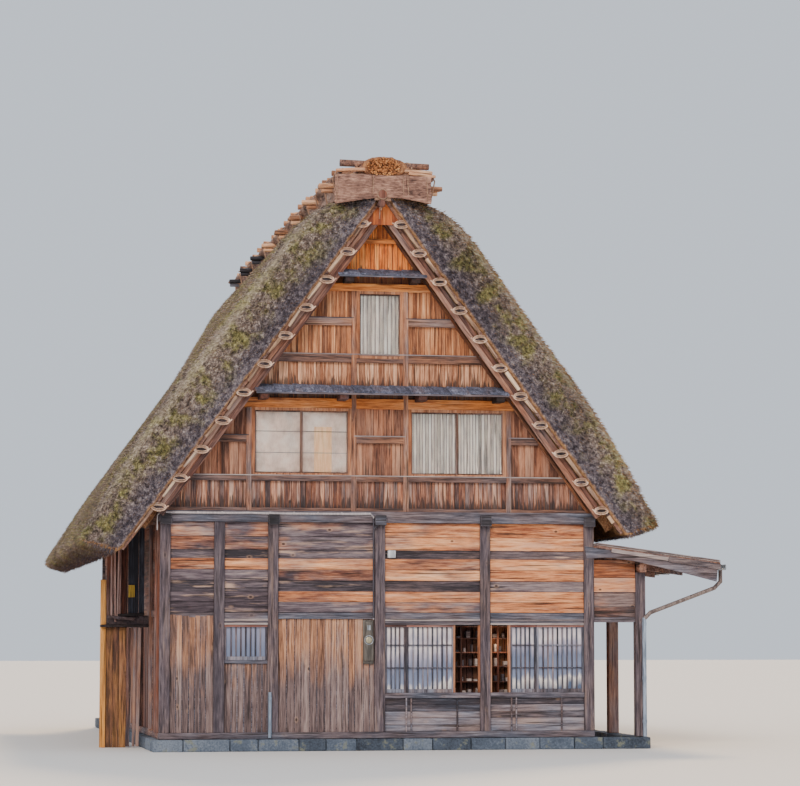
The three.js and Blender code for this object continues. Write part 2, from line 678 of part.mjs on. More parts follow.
function ridgePole() {
  const low = APEX + (PURLIN_IN + BITE) / COS + GAP;
  return box(-RIDGE_POLE, RIDGE_POLE, -PURLIN_OVER, LENGTH + PURLIN_OVER, low, RIDGE_POLE_TOP);
}

add("ridge_pole", "cedar", ridgePole());
add("thatch_left", "reed", mirrored(thatch(LEFT_EAVE)));
add("thatch_right", "reed", thatch(RIGHT_EAVE));

// Ridge cap: bundled reed laid over the ridge, flared at the top, with a long bundle and poles

const CAP_OVER = VERGE + 60; // the cap wraps down over the ends of the thatch
const CAP_HALF = 870;
const CAP_SIDE = 10400; // top of the cap's upright sides
const CAP_TOP = 10540;
const CAP_CROWN = CAP_TOP + 20;
const CAP_FLARE = 80; // how far its lip stands out at the top
const CAP_ARCH = 170; // rise of the end's lower edge at the middle
const STUB_TIP = 1160; // stubs of poles laid through the cap, one pair on each post line
const STUB_HALF = 48;
const STUB_Z = CAP_SIDE - 55;
const STUB_ROOT = 300; // how far inside the cap a stub starts

function ridgeCap() {
  const foot = outerHeight(CAP_EDGE, THATCH) + GAP;
  const half = [
    [0, THATCH_TOP + GAP],
    [CAP_EDGE, foot],
    [CAP_EDGE - 10, CAP_SIDE - 250],
    [CAP_HALF - 60, CAP_SIDE],
    [CAP_HALF + CAP_FLARE, CAP_SIDE + 60],
    [CAP_HALF + CAP_FLARE - 20, CAP_TOP],
    [0, CAP_CROWN],
  ];
  const other = half.slice(1, -1).map(([x, z]) => [-x, z]).reverse();
  const body = upright([...half, ...other], -CAP_OVER, LENGTH + CAP_OVER);
  const low = foot + 20;
  const arch = range(7).map((i) => {
    const turn = (Math.PI * (i + 1)) / 8;
    return [CAP_HALF * Math.cos(turn), low + CAP_ARCH * Math.sin(turn)];
  });
  const apron = [
    [CAP_HALF, low],
    ...arch,
    [-CAP_HALF, low],
    [-CAP_HALF, CAP_SIDE],
    [CAP_HALF, CAP_SIDE],
  ];
  const front = upright(apron, -CAP_OVER, -VERGE - GAP);
  const stubs = range(8).flatMap((i) => {
    const stub = box(STUB_ROOT, STUB_TIP, i * BAY - STUB_HALF, i * BAY + STUB_HALF,
      STUB_Z - STUB_HALF, STUB_Z + STUB_HALF);
    return [stub, mirrored(stub)];
  });
  return union([body, front, front.translate([0, LENGTH + CAP_OVER + VERGE + GAP, 0]), ...stubs]);
}

const BUNDLE_HALF = 430;
const BUNDLE_ARCH = 165; // rise of its rounded top
const TIE_HALF = 48; // half thickness of a pole laid across the ridge
const TIE_REACH = 840;
const TIE_Z = CAP_TOP + 165;
const TIE_FIRST = 90; // from the cap's end to the first pole
const TIE_COUNT = 15;

function ridgeBundle() {
  const low = CAP_CROWN + GAP;
  const arc = range(9).map((i) => {
    const turn = (Math.PI * i) / 8;
    return [BUNDLE_HALF * Math.cos(turn), TIE_Z + BUNDLE_ARCH * Math.sin(turn)];
  });
  const bundle = upright([[-BUNDLE_HALF + 20, low], [BUNDLE_HALF - 20, low], ...arc],
    -CAP_OVER, LENGTH + CAP_OVER);
  const first = TIE_FIRST - CAP_OVER;
  const pitch = (LENGTH - 2 * first) / (TIE_COUNT - 1);
  const poles = range(TIE_COUNT).map((i) =>
    box(-TIE_REACH, TIE_REACH, first + i * pitch - TIE_HALF, first + i * pitch + TIE_HALF,
      TIE_Z - TIE_HALF, TIE_Z + TIE_HALF),
  );
  return union([bundle, ...poles]);
}

add("ridge_cap", "ridge", ridgeCap());
add("ridge_bundle", "ridge", ridgeBundle());

// Veranda under a lean-to roof along the right-hand wall

const LEANTO = { start: OUTSIDE, end: 6400, top: 3745, fall: 0.13, thick: 50, over: 360 };
const leantoTop = (x) => LEANTO.top - LEANTO.fall * (x - LEANTO.start);
const leantoUnder = (x) => leantoTop(x) - LEANTO.thick;
const LEANTO_RAFTER = 145;
const LEANTO_RAFTER_HALF = 40;
const LEANTO_RAFTER_END = LEANTO.end - 60;
const BEAM_HALF = 65;
const BEAM_DEPTH = 170;
const BEAM_OVER = 280; // beyond the end walls
const beamTop = leantoUnder(VERANDA_X + BEAM_HALF) - LEANTO_RAFTER - GAP;

function leantoRoof() {
  const slab = upright([
    [LEANTO.start, leantoUnder(LEANTO.start)],
    [LEANTO.end, leantoUnder(LEANTO.end)],
    [LEANTO.end, leantoTop(LEANTO.end)],
    [LEANTO.start, leantoTop(LEANTO.start)],
  ], -LEANTO.over, LENGTH + LEANTO.over);
  const rafters = range(8).map((i) =>
    upright([
      [LEANTO.start, leantoUnder(LEANTO.start) - LEANTO_RAFTER],
      [LEANTO_RAFTER_END, leantoUnder(LEANTO_RAFTER_END) - LEANTO_RAFTER],
      [LEANTO_RAFTER_END, leantoUnder(LEANTO_RAFTER_END) + 1],
      [LEANTO.start, leantoUnder(LEANTO.start) + 1],
    ], i * BAY - LEANTO_RAFTER_HALF, i * BAY + LEANTO_RAFTER_HALF),
  );
  return union([slab, ...rafters]);
}

// Curved board under the lean-to's front edge, its tail running on past the roof boards
const BARGE_LOW = [[3830, 3500], [4300, 3520], [4780, 3450], [5500, 3290], [6330, 3085]];
const BARGE_HIGH = [6360, 5500, 4780, OUTSIDE];
const BARGE_TAIL = [3800, 3730];
const BARGE_FRONT = 20 - LEANTO.over;
const BARGE_BACK = 65 - LEANTO.over;

function bargeBoard() {
  const high = BARGE_HIGH.map((x) => [x, leantoUnder(x) - GAP]);
  return upright([...BARGE_LOW, ...high, BARGE_TAIL], BARGE_FRONT, BARGE_BACK);
}

function verandaFrame() {
  const posts = range(7, 1).map((i) =>
    box(VERANDA_X - HALF_POST, VERANDA_X + HALF_POST, i * BAY - HALF_POST, i * BAY + HALF_POST,
      FOOTING_TOP, beamTop - BEAM_DEPTH + 1),
  );
  const beam = box(VERANDA_X - BEAM_HALF, VERANDA_X + BEAM_HALF, -BEAM_OVER, LENGTH + BEAM_OVER,
    beamTop - BEAM_DEPTH, beamTop);
  return union([beam, ...posts]);
}

const VERANDA_BOARDS_BOTTOM = 2330;
const VERANDA_RAIL = 90;

function verandaBoards() {
  const x0 = OUTSIDE;
  const x1 = VERANDA_X - HALF_POST;
  const top = beamTop - BEAM_DEPTH;
  return union([
    box(x0, x1, BOARD_FRONT, BOARD_BACK, VERANDA_BOARDS_BOTTOM, top),
    box(x0, x1, RAIL_FRONT, RAIL_BACK, VERANDA_BOARDS_BOTTOM, VERANDA_BOARDS_BOTTOM + VERANDA_RAIL),
    box(x0, x1, RAIL_FRONT, RAIL_BACK, top - VERANDA_RAIL, top),
  ]);
}

add("leanto_roof", "board", leantoRoof());
add("leanto_barge_board", "post", bargeBoard());
add("veranda_frame", "post", verandaFrame());
add("veranda_boards", "board", verandaBoards());
add("front_post_7", "post",
  box(VERANDA_X - HALF_POST, VERANDA_X + HALF_POST, -HALF_POST, HALF_POST,
    FOOTING_TOP, beamTop - BEAM_DEPTH));

// Rainwater gutter along the lean-to's eave, and its downpipe

const GUTTER_X = LEANTO.end;
const GUTTER_TOP = leantoTop(LEANTO.end) - 30;
const GUTTER_WIDE = 110;
const GUTTER_BOTTOM = GUTTER_TOP - 95;
const GUTTER_SHEET = 12;

function gutter() {
  const y0 = -LEANTO.over;
  const y1 = LENGTH + LEANTO.over;
  const outside = box(GUTTER_X, GUTTER_X + GUTTER_WIDE, y0, y1, GUTTER_BOTTOM, GUTTER_TOP);
  return outside.subtract(box(GUTTER_X + GUTTER_SHEET, GUTTER_X + GUTTER_WIDE - GUTTER_SHEET,
    y0 - 1, y1 + 1, GUTTER_BOTTOM + GUTTER_SHEET, GUTTER_TOP + 1));
}

const PIPE = 38;
const PIPE_Y = -150;
const PIPE_X = VERANDA_X + 50; // down the right half of the corner post's front
const PIPE_HIGH = 3090; // where it turns in below the gutter
const PIPE_LOW = 2390; // where it turns down at the post
const PIPE_BEND = 120;
const OUTLET_X = GUTTER_X + GUTTER_WIDE / 2;

add("gutter", "metal", gutter());
add("downpipe", "metal", pipe([
  [OUTLET_X, GUTTER_BOTTOM - GAP],
  [OUTLET_X, PIPE_HIGH],
  [OUTLET_X - PIPE_BEND, PIPE_HIGH - PIPE_BEND],
  [PIPE_X + PIPE_BEND, PIPE_LOW + PIPE_BEND],
  [PIPE_X, PIPE_LOW],
  [PIPE_X, FOOTING_TOP + GAP],
], PIPE_Y, PIPE));

// Small pieces on the walls

const METER = { x0: -320, x1: -110, z0: 1560, z1: 2370, front: -150 };
const CONDUIT = 14;
const CONDUIT_Y = GIRT_FRONT - CONDUIT - GAP;
const CONDUIT_Z = GIRT_TOP - 40;

add("meter_box", "metal", box(METER.x0, METER.x1, METER.front, BOARD_FRONT, METER.z0, METER.z1));
const CONDUIT_X = -OUTSIDE - 60; // where it turns down at the corner
const CONDUIT_DROP = METER.x1 - 20; // where it turns down to the meter
const CONDUIT_BEND = 60;
const CONDUIT_FOOT = 3980;

add("conduit", "metal", pipe([
  [CONDUIT_X, CONDUIT_FOOT],
  [CONDUIT_X, CONDUIT_Z - CONDUIT_BEND],
  [CONDUIT_X + CONDUIT_BEND, CONDUIT_Z],
  [CONDUIT_DROP - CONDUIT_BEND, CONDUIT_Z],
  [CONDUIT_DROP, CONDUIT_Z - CONDUIT_BEND],
  [CONDUIT_DROP, METER.z1 + GAP],
], CONDUIT_Y, CONDUIT));

// Plank screen with a shelf, standing off the left wall under the eave
const SCREEN_Y = BAY + HALF_POST + 5;
const SCREEN_LEFT = -4935; // outer side of its tall post
const SCREEN_RIGHT = -4440; // inner edge of its planks
const SCREEN_POST = 105;
const SCREEN_POST_TOP = 3130;
const SCREEN_PLANKS = 40;
const SHELF_BOTTOM = 2240;
const SHELF_TOP = 2290;
const SHELF_DEPTH = 260;
const CHEST_TOP = 2460; // long low chest on the shelf
const CHEST_DEPTH = 80;

function sideScreen() {
  const post = SCREEN_LEFT + SCREEN_POST;
  const middle = SCREEN_Y + SCREEN_POST / 2;
  const across = (x0, x1, depth, z0, z1) => box(x0, x1, middle - depth / 2, middle + depth / 2, z0, z1);
  return union([
    across(SCREEN_LEFT, post, SCREEN_POST, 0, SCREEN_POST_TOP),
    across(post - 5, SCREEN_RIGHT, SCREEN_PLANKS, 0, SHELF_BOTTOM + 1),
    across(SCREEN_LEFT, -OUTSIDE, SHELF_DEPTH, SHELF_BOTTOM, SHELF_TOP),
    across(SCREEN_LEFT, -OUTSIDE, CHEST_DEPTH, SHELF_TOP - 1, CHEST_TOP),
  ]);
}

add("side_screen", "cedar", sideScreen());

export default house;
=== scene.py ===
"""Looks of a thatched minka farmhouse, built around its fixed frame. Lengths are in metres."""
import math
import random

import bpy
import numpy as np
from mathutils import Matrix, Vector


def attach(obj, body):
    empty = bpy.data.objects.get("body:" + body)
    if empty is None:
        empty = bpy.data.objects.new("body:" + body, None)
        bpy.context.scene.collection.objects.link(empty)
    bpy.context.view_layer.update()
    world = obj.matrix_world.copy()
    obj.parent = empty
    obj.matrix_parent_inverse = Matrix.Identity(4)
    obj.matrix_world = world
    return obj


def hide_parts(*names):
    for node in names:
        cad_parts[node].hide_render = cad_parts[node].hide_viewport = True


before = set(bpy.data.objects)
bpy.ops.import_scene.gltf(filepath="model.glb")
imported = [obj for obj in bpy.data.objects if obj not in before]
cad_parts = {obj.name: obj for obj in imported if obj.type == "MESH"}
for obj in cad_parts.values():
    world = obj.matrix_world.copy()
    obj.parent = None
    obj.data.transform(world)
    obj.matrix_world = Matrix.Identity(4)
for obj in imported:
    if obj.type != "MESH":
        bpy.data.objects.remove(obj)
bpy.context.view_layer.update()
bpy.ops.object.select_all(action="DESELECT")

# The timber grid, as in the construction
BAY = 1.97
HALF_WIDTH = 2 * BAY
LENGTH = 7 * BAY
POST = 0.19
HALF_POST = POST / 2
OUTSIDE = HALF_WIDTH + HALF_POST
POST_LINES = [-2 * BAY, -1.5 * BAY, -BAY, 0, BAY, 2 * BAY]
VERANDA_X = 2.5 * BAY

# Levels
FOOTING_TOP = 0.22
SILL_TOP = 0.335
LEDGE_BOTTOM = 0.945
LEDGE_TOP = 1.04
SMALL_WINDOW_BOTTOM = 1.638
LINTEL_BOTTOM = 2.276
LINTEL_TOP = 2.495
GIRT_BOTTOM = 4.145
GIRT_TOP = 4.345

# The roof's slopes
PITCH = math.radians(54)
SIN, COS = math.sin(PITCH), math.cos(PITCH)
APEX = 10.2
FIRST_PURLIN, PURLIN_PITCH = 0.625, 0.648
PURLINS = [FIRST_PURLIN + PURLIN_PITCH * i for i in range(11)]
PURLIN_OUT = -0.095
SLOPE_LENGTH = (APEX - GIRT_TOP) / SIN
VERGE_POLE_Y = -0.37
CAP_OVER = 0.54
TIE_Z = 10.705
ROLL_HALF, ROLL_HIGH, ROLL_Z = 0.44, 0.195, 10.67
RIDGE_FRONT, RIDGE_BACK = -CAP_OVER, LENGTH + CAP_OVER
CROSS_POLES = [RIDGE_FRONT + 0.09 + i * (RIDGE_BACK - RIDGE_FRONT - 0.18) / 14 for i in range(15)]
OUTER_POLES = (CROSS_POLES[0], CROSS_POLES[-1])


def on_slope(down, out, side=1):
    """The point that far down a slope and out from the thatch's underside; side is -1 on the left."""
    return side * (COS * down + SIN * out), APEX - SIN * down + COS * out


def reach_at(z, out):
    """How far from the ridge plane a plane parallel to the slope is, at height z."""
    return (out + COS * (APEX - z)) / SIN


# Camera at the photograph's viewing angle
IMAGE_WIDTH = 800
FOCAL_PIXELS = 2728.4
SENSOR_WIDTH_MM = 36
CAMERA_PLACE = (-8.75, -49.376, 2.034)
CAMERA_PITCH = 5.136
CAMERA_YAW = -10.483


def place_camera():
    data = bpy.data.cameras.new("photo_camera")
    data.sensor_fit = "HORIZONTAL"
    data.sensor_width = SENSOR_WIDTH_MM
    data.lens = FOCAL_PIXELS / IMAGE_WIDTH * SENSOR_WIDTH_MM
    data.clip_end = 400
    camera = bpy.data.objects.new("photo_camera", data)
    camera.location = CAMERA_PLACE
    camera.rotation_euler = (math.radians(90 + CAMERA_PITCH), 0, math.radians(CAMERA_YAW))
    bpy.context.scene.collection.objects.link(camera)
    bpy.context.scene.camera = camera


place_camera()

# Node tools


def linear(hex_colour):
    """An sRGB hex colour as linear RGBA."""
    parts = [int(hex_colour[i:i + 2], 16) / 255 for i in (1, 3, 5)]
    return [p / 12.92 if p <= 0.04045 else ((p + 0.055) / 1.055) ** 2.4 for p in parts] + [1]


def add(tree, kind, links=(), out=0, stops=None, **settings):
    """Adds a node and returns one of its outputs; a shader node is named without its first word.

    links gives its inputs values, hex colours or other nodes' outputs, in order or by name, and stops
    fill a colour ramp with hex colours or with levels of grey.
    """
    made = tree.nodes.new(kind if "Node" in kind else "ShaderNode" + kind)
    for name, value in settings.items():
        setattr(made, name, value)
    for name, value in (links.items() if isinstance(links, dict) else enumerate(links)):
        if isinstance(value, bpy.types.NodeSocket):
            tree.links.new(value, made.inputs[name])
        else:
            made.inputs[name].default_value = linear(value) if str(value).startswith("#") else value
    if stops:
        points = made.color_ramp.elements
        while len(points) < len(stops):
            points.new(0.5)
        for point, (place, colour) in zip(points, stops):
            point.position = place
            point.color = linear(colour) if isinstance(colour, str) else (colour, colour, colour, 1)
    return made.outputs[out]


MIX_COLOURS = {"out": 2, "data_type": "RGBA"}  # with its share in input 0 and the colours in 6 and 7


def mottle(tree, place, stretch, detail=4.0, roughness=0.6):
    """A cloudy pattern with its own number of repeats per metre along each axis."""
    moved = add(tree, "VectorMath", [place, stretch], operation="MULTIPLY")
    return add(tree, "TexNoise", {"Vector": moved, "Scale": 1.0, "Detail": detail, "Roughness": roughness})


def slope_place(tree):
    """Coordinates down either slope, back along the ridge and out from the slope."""
    parts = add(tree, "SeparateXYZ", [add(tree, "TexCoord", out="Object")]).node.outputs
    across = add(tree, "Math", [parts["X"]], operation="ABSOLUTE")
    lowered = add(tree, "Math", [parts["Z"], -SIN], operation="MULTIPLY")
    down = add(tree, "Math", [across, COS, lowered], operation="MULTIPLY_ADD")
    raised = add(tree, "Math", [parts["Z"], COS], operation="MULTIPLY")
    out = add(tree, "Math", [across, SIN, raised], operation="MULTIPLY_ADD")
    return add(tree, "CombineXYZ", [down, parts["Y"], out])


def new_material(name, roughness, metallic=0.0):
    """A material with a Principled shader; returns the material, its tree and the shader."""
    material = bpy.data.materials.new(name)
    material.use_nodes = True
    tree = material.node_tree
    shader = tree.nodes["Principled BSDF"]
    shader.inputs["Roughness"].default_value = roughness
    shader.inputs["Metallic"].default_value = metallic
    return material, tree, shader


def surface(tree, shader, colour, height, deep):
    """Joins a colour and a relief, that many metres deep, to the shader."""
    tree.links.new(colour, shader.inputs["Base Color"])
    normal = add(tree, "Bump", {"Height": height, "Distance": deep, "Strength": 1.0})
    tree.links.new(normal, shader.inputs["Normal"])


# Timber: the same cedar, from sheltered and warm to rained on and silver grey.
# Soft summer growth wears away first, so the grain stands up in fine ridges along the board.

ALONG = {"x": (0, 1, 1), "y": (1, 0, 1), "z": (1, 1, 0), "slope": (0, 1, 1)}
# Real growth rings are 2 to 6 mm apart, too fine to show, so the grain is drawn 18 mm apart
GRAIN_PER_METRE = 55
STREAKS_PER_METRE = 13  # some 80 mm apart, so a wide board has two or three
CRACKS_PER_METRE = 34  # some 30 mm apart, as real ones are too fine to show
KNOTS_PER_METRE = 3.4  # some 0.3 m apart across the boards and 0.5 m along them
GRAIN_STOPS = (0.39, 0.51, 0.66)
TONE_SPREAD = 0.22
PATCHINESS = 3.2
BOARD_SHIFT = (31, 47, 59)  # how far a board's tone moves its grain, so that no two boards match
STAIN_RISE = 1.3
STAIN_EDGE = 14.0
WARM = ("#6e3f28", "#bf7b50", "#e9b184")
ORANGE = ("#a0521f", "#e08840", "#ffbe78")
BROWN = ("#46302a", "#8c5f49", "#b98868")
PEACH = ("#84462c", "#da8e5d", "#fdc597")
SILVER = ("#47424a", "#857b7e", "#b5aaa6")
SLATE = ("#2b2c37", "#555866", "#8b8e9e")
SOOT = ("#17141a", "#37313a", "#5c545e")
UMBER = ("#3a3033", "#75615f", "#a6928d")
TIMBER = ("#352b2f", "#6a5c60", "#9c8e8e")
DEEP_GREY = ("#2a242c", "#5b5058", "#8d8082")
PLANK_TAN = ("#674727", "#a57443", "#cf9d64")
RED_BROWN = ("#331a15", "#673a2c", "#8f5844")


def cedar(name, along, fresh, aged, aging, knots=1.0, relief=0.005, stain_above=None, fade_below=None,
          fade=0.8, streaks_per_metre=STREAKS_PER_METRE, gleam=0.0):
    """Cedar whose boards run along one axis; aging from 0 to 1 turns it from fresh to aged.

    Splashing rain blackens the boards' feet in uneven tongues above the level given by stain_above,
    the weather greys them by fade a metre below the level given by fade_below, and gleam is how much
    of the raised grain has been rubbed pale.
    """
    material, tree, shader = new_material(name, 0.85)
    across = ALONG[along]
    place = slope_place(tree) if along == "slope" else add(tree, "TexCoord", out="Object")
    tone = add(tree, "Attribute", out="Fac", attribute_name="tone")
    own = add(tree, "CombineXYZ", [tone, tone, tone])
    moved = add(tree, "VectorMath", [own, BOARD_SHIFT, place], operation="MULTIPLY_ADD")

    def grain_at(per_metre, along_it, detail, roughness=0.6):
        return mottle(tree, moved, [per_metre if a else along_it for a in across], detail, roughness)

    grain = grain_at(GRAIN_PER_METRE, 3.2, 5.0, 0.72)
    streaks = grain_at(streaks_per_metre, 0.9, 5.0, 0.68)
    patches = grain_at(2.6, 0.9, 3.0)
    half = add(tree, "Math", [streaks, 0.5], operation="MULTIPLY")
    shade = add(tree, "Math", [grain, 0.5, half], operation="MULTIPLY_ADD")
    centred = add(tree, "Math", [shade, TONE_SPREAD / 2], operation="SUBTRACT")
    shade = add(tree, "Math", [tone, TONE_SPREAD, centred], operation="MULTIPLY_ADD")
    bright = add(tree, "ValToRGB", [shade], stops=list(zip(GRAIN_STOPS, fresh)))
    dull = add(tree, "ValToRGB", [shade], stops=list(zip(GRAIN_STOPS, aged)))
    height = add(tree, "SeparateXYZ", [place], out="Z")
    weather = add(tree, "Attribute", out="Fac", attribute_name="weather")
    age = add(tree, "Math", [weather, aging], operation="ADD")
    if fade_below:
        depth = add(tree, "Math", [fade_below, height], operation="SUBTRACT", use_clamp=True)
        age = add(tree, "Math", [depth, fade, age], operation="MULTIPLY_ADD")
    uneven = add(tree, "Math", [patches, 0.5], operation="SUBTRACT")
    worn = add(tree, "Math", [uneven, PATCHINESS, age], operation="MULTIPLY_ADD", use_clamp=True)
    colour = add(tree, "Mix", {0: worn, 6: bright, 7: dull}, **MIX_COLOURS)
    if gleam:
        rubbed = add(tree, "ValToRGB", [grain_at(9, 0.8, 5.0, 0.65)], stops=[(0.55, 0.0), (0.66, 1.0)])
        rubbed = add(tree, "Math", [rubbed, gleam], operation="MULTIPLY")
        colour = add(tree, "Mix", {0: rubbed, 6: colour, 7: "#f0c8ac"}, **MIX_COLOURS)
    cracks = grain_at(CRACKS_PER_METRE, 0.9, 2.0, 0.5)
    cracks = add(tree, "ValToRGB", [cracks], stops=[(0.32, 1.0), (0.39, 0.0)])
    dark = add(tree, "Math", [cracks, 0.75], operation="MULTIPLY")
    colour = add(tree, "Mix", {0: dark, 6: colour, 7: "#1d1715"}, **MIX_COLOURS)
    oval = add(tree, "VectorMath", [moved, [1 if a else 0.62 for a in across]], operation="MULTIPLY")
    spots = add(tree, "TexVoronoi", {"Vector": oval, "Scale": KNOTS_PER_METRE})
    halo = add(tree, "ValToRGB", [spots], stops=[(0.05, 0.0), (0.08, 0.14 * knots), (0.16, 0.0)])
    colour = add(tree, "Mix", {0: halo, 6: colour, 7: "#e9bd9a"}, **MIX_COLOURS)
    knot = add(tree, "ValToRGB", [spots], stops=[(0.05, 0.85 * min(knots, 1.0)), (0.085, 0.0)])
    colour = add(tree, "Mix", {0: knot, 6: colour, 7: "#33201b"}, **MIX_COLOURS)
    if stain_above:
        tongues = add(tree, "Math", [streaks, 2.5], operation="POWER")
        rise = add(tree, "Math", [tongues, STAIN_RISE, stain_above], operation="MULTIPLY_ADD")
        soaked = add(tree, "Math", [rise, height], operation="SUBTRACT")
        wet = add(tree, "Math", [soaked, STAIN_EDGE], operation="MULTIPLY", use_clamp=True)
        wet = add(tree, "Math", [wet, 0.85], operation="MULTIPLY")
        colour = add(tree, "Mix", {0: wet, 6: colour, 7: "#2b2224"}, **MIX_COLOURS)
    ridges = add(tree, "Math", [grain, cracks], operation="SUBTRACT")
    surface(tree, shader, colour, ridges, relief)
    return material


# The gables' narrow boards: warm brown in long streaks, brown-grey in patches
BOARD_GABLE = cedar("cedar_boards_gable", "z", WARM, BROWN, 0.15, streaks_per_metre=24)
# The row over the middle pent roof: sun-bleached pale, with black tongues of splashed rain at its foot
BOARD_GABLE_PALE = cedar("cedar_boards_gable_ledge", "z", ("#8d563a", "#d59b77", "#f8cba9"), BROWN, 0.1,
                         stain_above=6.54, streaks_per_metre=24)
# The wider boards between the windows: calmer, a duller reddish brown
BOARD_GABLE_WIDE = cedar("wide_cedar_boards_gable", "z", ("#5c3324", "#a36b50", "#ce9675"),
                         ("#4a312a", "#805d4f", "#a98673"), 0.4, 1.6, streaks_per_metre=11)
# The gables' lowest row: grey-brown and pale by turns, its foot black with splashed rain
BOARD_GABLE_LOW = cedar("cedar_boards_gable_foot", "z", ("#6f4131", "#bd8062", "#edbd9c"), UMBER, 0.60,
                        stain_above=4.34, streaks_per_metre=24)
# Under the apex no rain reaches the boards, which stay orange; their bright glow is painted sunlight
BOARD_TOP = cedar("cedar_boards_gable_top", "z", ("#b4541e", "#ff9444", "#ffbf74"),
                  ("#743a24", "#a4552f", "#c87e4c"), 0.0, 0.3, stain_above=8.58)
# The front wall's upright boards: tan with grey streaks, greyer towards the ground
BOARD_UPRIGHT = cedar("cedar_boards_upright", "z", ("#654230", "#b48060", "#deb190"), UMBER, 0.15, 1.6,
                      fade_below=1.85, fade=1.3, streaks_per_metre=26)
# The front wall's lying boards: peach where sheltered, dark purple-grey where rained on, grain rubbed pale
BOARD_LYING = cedar("cedar_boards_lying", "x", PEACH, ("#2d242b", "#5d5058", "#95888b"), 0.12, 1.6, 0.007,
                    gleam=0.38)
# The rows set back between them: greyed wood, drawn nearly black as painted shade under the proud rows, with
# pale raised grain
BOARD_SHADED = cedar("cedar_boards_set_back", "x", UMBER, ("#2a262d", "#574d55", "#95868a"), 0.85, 1.6, 0.007,
                     gleam=0.6)
# Under the lattice windows: slate grey with some brown left
BOARD_LOW = cedar("cedar_boards_below_windows", "x", UMBER, SLATE, 0.5)
# The right side's lying boards and the floors: plain brown going grey
BOARD_SIDE = cedar("cedar_boards_side", "y", BROWN, UMBER, 0.4)
# The left side's lying boards: dark red-brown in the eave's shade
BOARD_SIDE_RED = cedar("cedar_boards_left_side", "y", RED_BROWN, UMBER, 0.2)
# Upright boards of the right side and the back: plain brown going grey
BOARD_SIDE_UPRIGHT = cedar("cedar_boards_side_upright", "z", BROWN, UMBER, 0.35)
# Over the veranda's end, sheltered by the lean-to: still reddish, some grain rubbed pale
BOARD_SHELTERED = cedar("cedar_boards_under_leanto", "x", ("#74402a", "#c07449", "#e6a577"), UMBER, 0.35, 1.2,
                        gleam=0.25)
# Hewn front posts: purple-grey all over, with a little pale grain
POST_UPRIGHT = cedar("hewn_cedar_posts", "z", UMBER, DEEP_GREY, 0.85, 0.4, gleam=0.15)
# The second front post: sooted darker than the others
POST_DARK = cedar("smoked_cedar_post", "z", DEEP_GREY, SOOT, 0.55, 0.4)
# Posts of the sides and the veranda: brown and grey by turns
POST_SIDE = cedar("hewn_cedar_side_posts", "z", BROWN, DEEP_GREY, 0.6, 0.4)
# Hewn girt, sills and back wall: cold grey, streaked slate
BEAM_LYING = cedar("hewn_cedar_beams", "x", TIMBER, SLATE, 0.5, 0.4)
# End grain of beam heads and pole stubs: almost black with old smoke and wet
BEAM_DARK = cedar("hewn_beam_heads", "x", ("#141216", "#2a272d", "#46424a"), SLATE, 0.1, 0.0)
# Beams that run back along the sides: brown-grey
BEAM_SIDE = cedar("hewn_cedar_side_beams", "y", BROWN, TIMBER, 0.5, 0.4)
# Planed rails turned fully silver, which show as thin pale lines
RAIL_SILVER = cedar("planed_cedar_silvered", "x", UMBER, SILVER, 0.9, 0.0)
# Planed rails of the gables: brown, half gone grey
RAIL_WARM = cedar("planed_cedar_rails", "x", BROWN, UMBER, 0.55, 0.3)
# Headers under the pent roofs, kept dry: bright orange brown
HEADER_WARM = cedar("planed_cedar_headers", "x", ORANGE, WARM, 0.35, 0.4)
# The gables' posts: warm above, greyer below the middle pent roof, edges rubbed pale
STILE_WARM = cedar("planed_cedar_stiles", "z", WARM, UMBER, 0.4, 0.3, fade_below=6.0, fade=0.35, gleam=0.4)
# Sloping battens along the boards' upper edges: warm brown, rubbed pale
BATTEN_WARM = cedar("planed_cedar_battens", "slope", WARM, BROWN, 0.5, 0.3, gleam=0.3)
# Planks down the verges: pinkish brown, greying in patches
PLANK_VERGE = cedar("cedar_verge_planks", "slope", ("#54322a", "#936450", "#c79a80"), UMBER, 0.3, 0.6)
# Purlin ends and the side shelf: dark with smoke, hardly any grain; in the ties the ends' black is also
# painted shade
BRACKET_DARK = cedar("smoked_and_shaded_cedar", "y", ("#1c1618", "#3d3032", "#5f5051"), SOOT, 0.3, 0.0)
# Brackets under the pent roofs: dark reddish brown in the shade
BRACKET_RED = cedar("reddish_smoked_brackets", "y", ("#1b0f0d", "#3c2019", "#5c3529"), SOOT, 0.0, 0.0)
# Window frames and jambs: clean warm brown
SASH_WARM = cedar("planed_cedar_sashes", "z", ("#7a4427", "#b0714c", "#d6a07c"), BROWN, 0.45, 0.0, 0.002)
# Thin bars of the gable windows' sashes: dark brown lines
SASH_DARK = cedar("aged_sash_bars", "z", ("#2e1c18", "#583c32", "#82604f"), UMBER, 0.2, 0.0, 0.002)
# Top rails of the lattice screens: a dull red
SASH_RED = cedar("reddened_sash_rails", "x", ("#4a2420", "#7c4a42", "#a87264"), UMBER, 0.3, 0.0, 0.002)
# Lattice bars: slate grey, smooth
LATTICE_WOOD = cedar("cedar_lattice_bars", "z", UMBER, SLATE, 0.75, 0.0, 0.002)
# Slats of the blinds: chalky white paint, a little greyed
SLAT_WHITE = cedar("white_painted_slats", "z", ("#c2b7ab", "#efe5da", "#fffaf2"), SILVER, -0.1, 0.0, 0.001)
# Split boards of the pent roofs: blue-grey and even
SHINGLE = cedar("split_cedar_shingles", "y", UMBER, ("#282c3c", "#5b6076", "#9aa0b6"), 1.0, 0.3)
# Split boards of the lean-to's roof: silver grey
ROOF_BOARD = cedar("split_cedar_roof_boards", "x", UMBER, SILVER, 0.6, 0.5)
# Peeled poles of the roof frame and ridge: brown, half gone grey
POLE_WOOD = cedar("peeled_poles", "y", BROWN, UMBER, 0.5, 0.6)
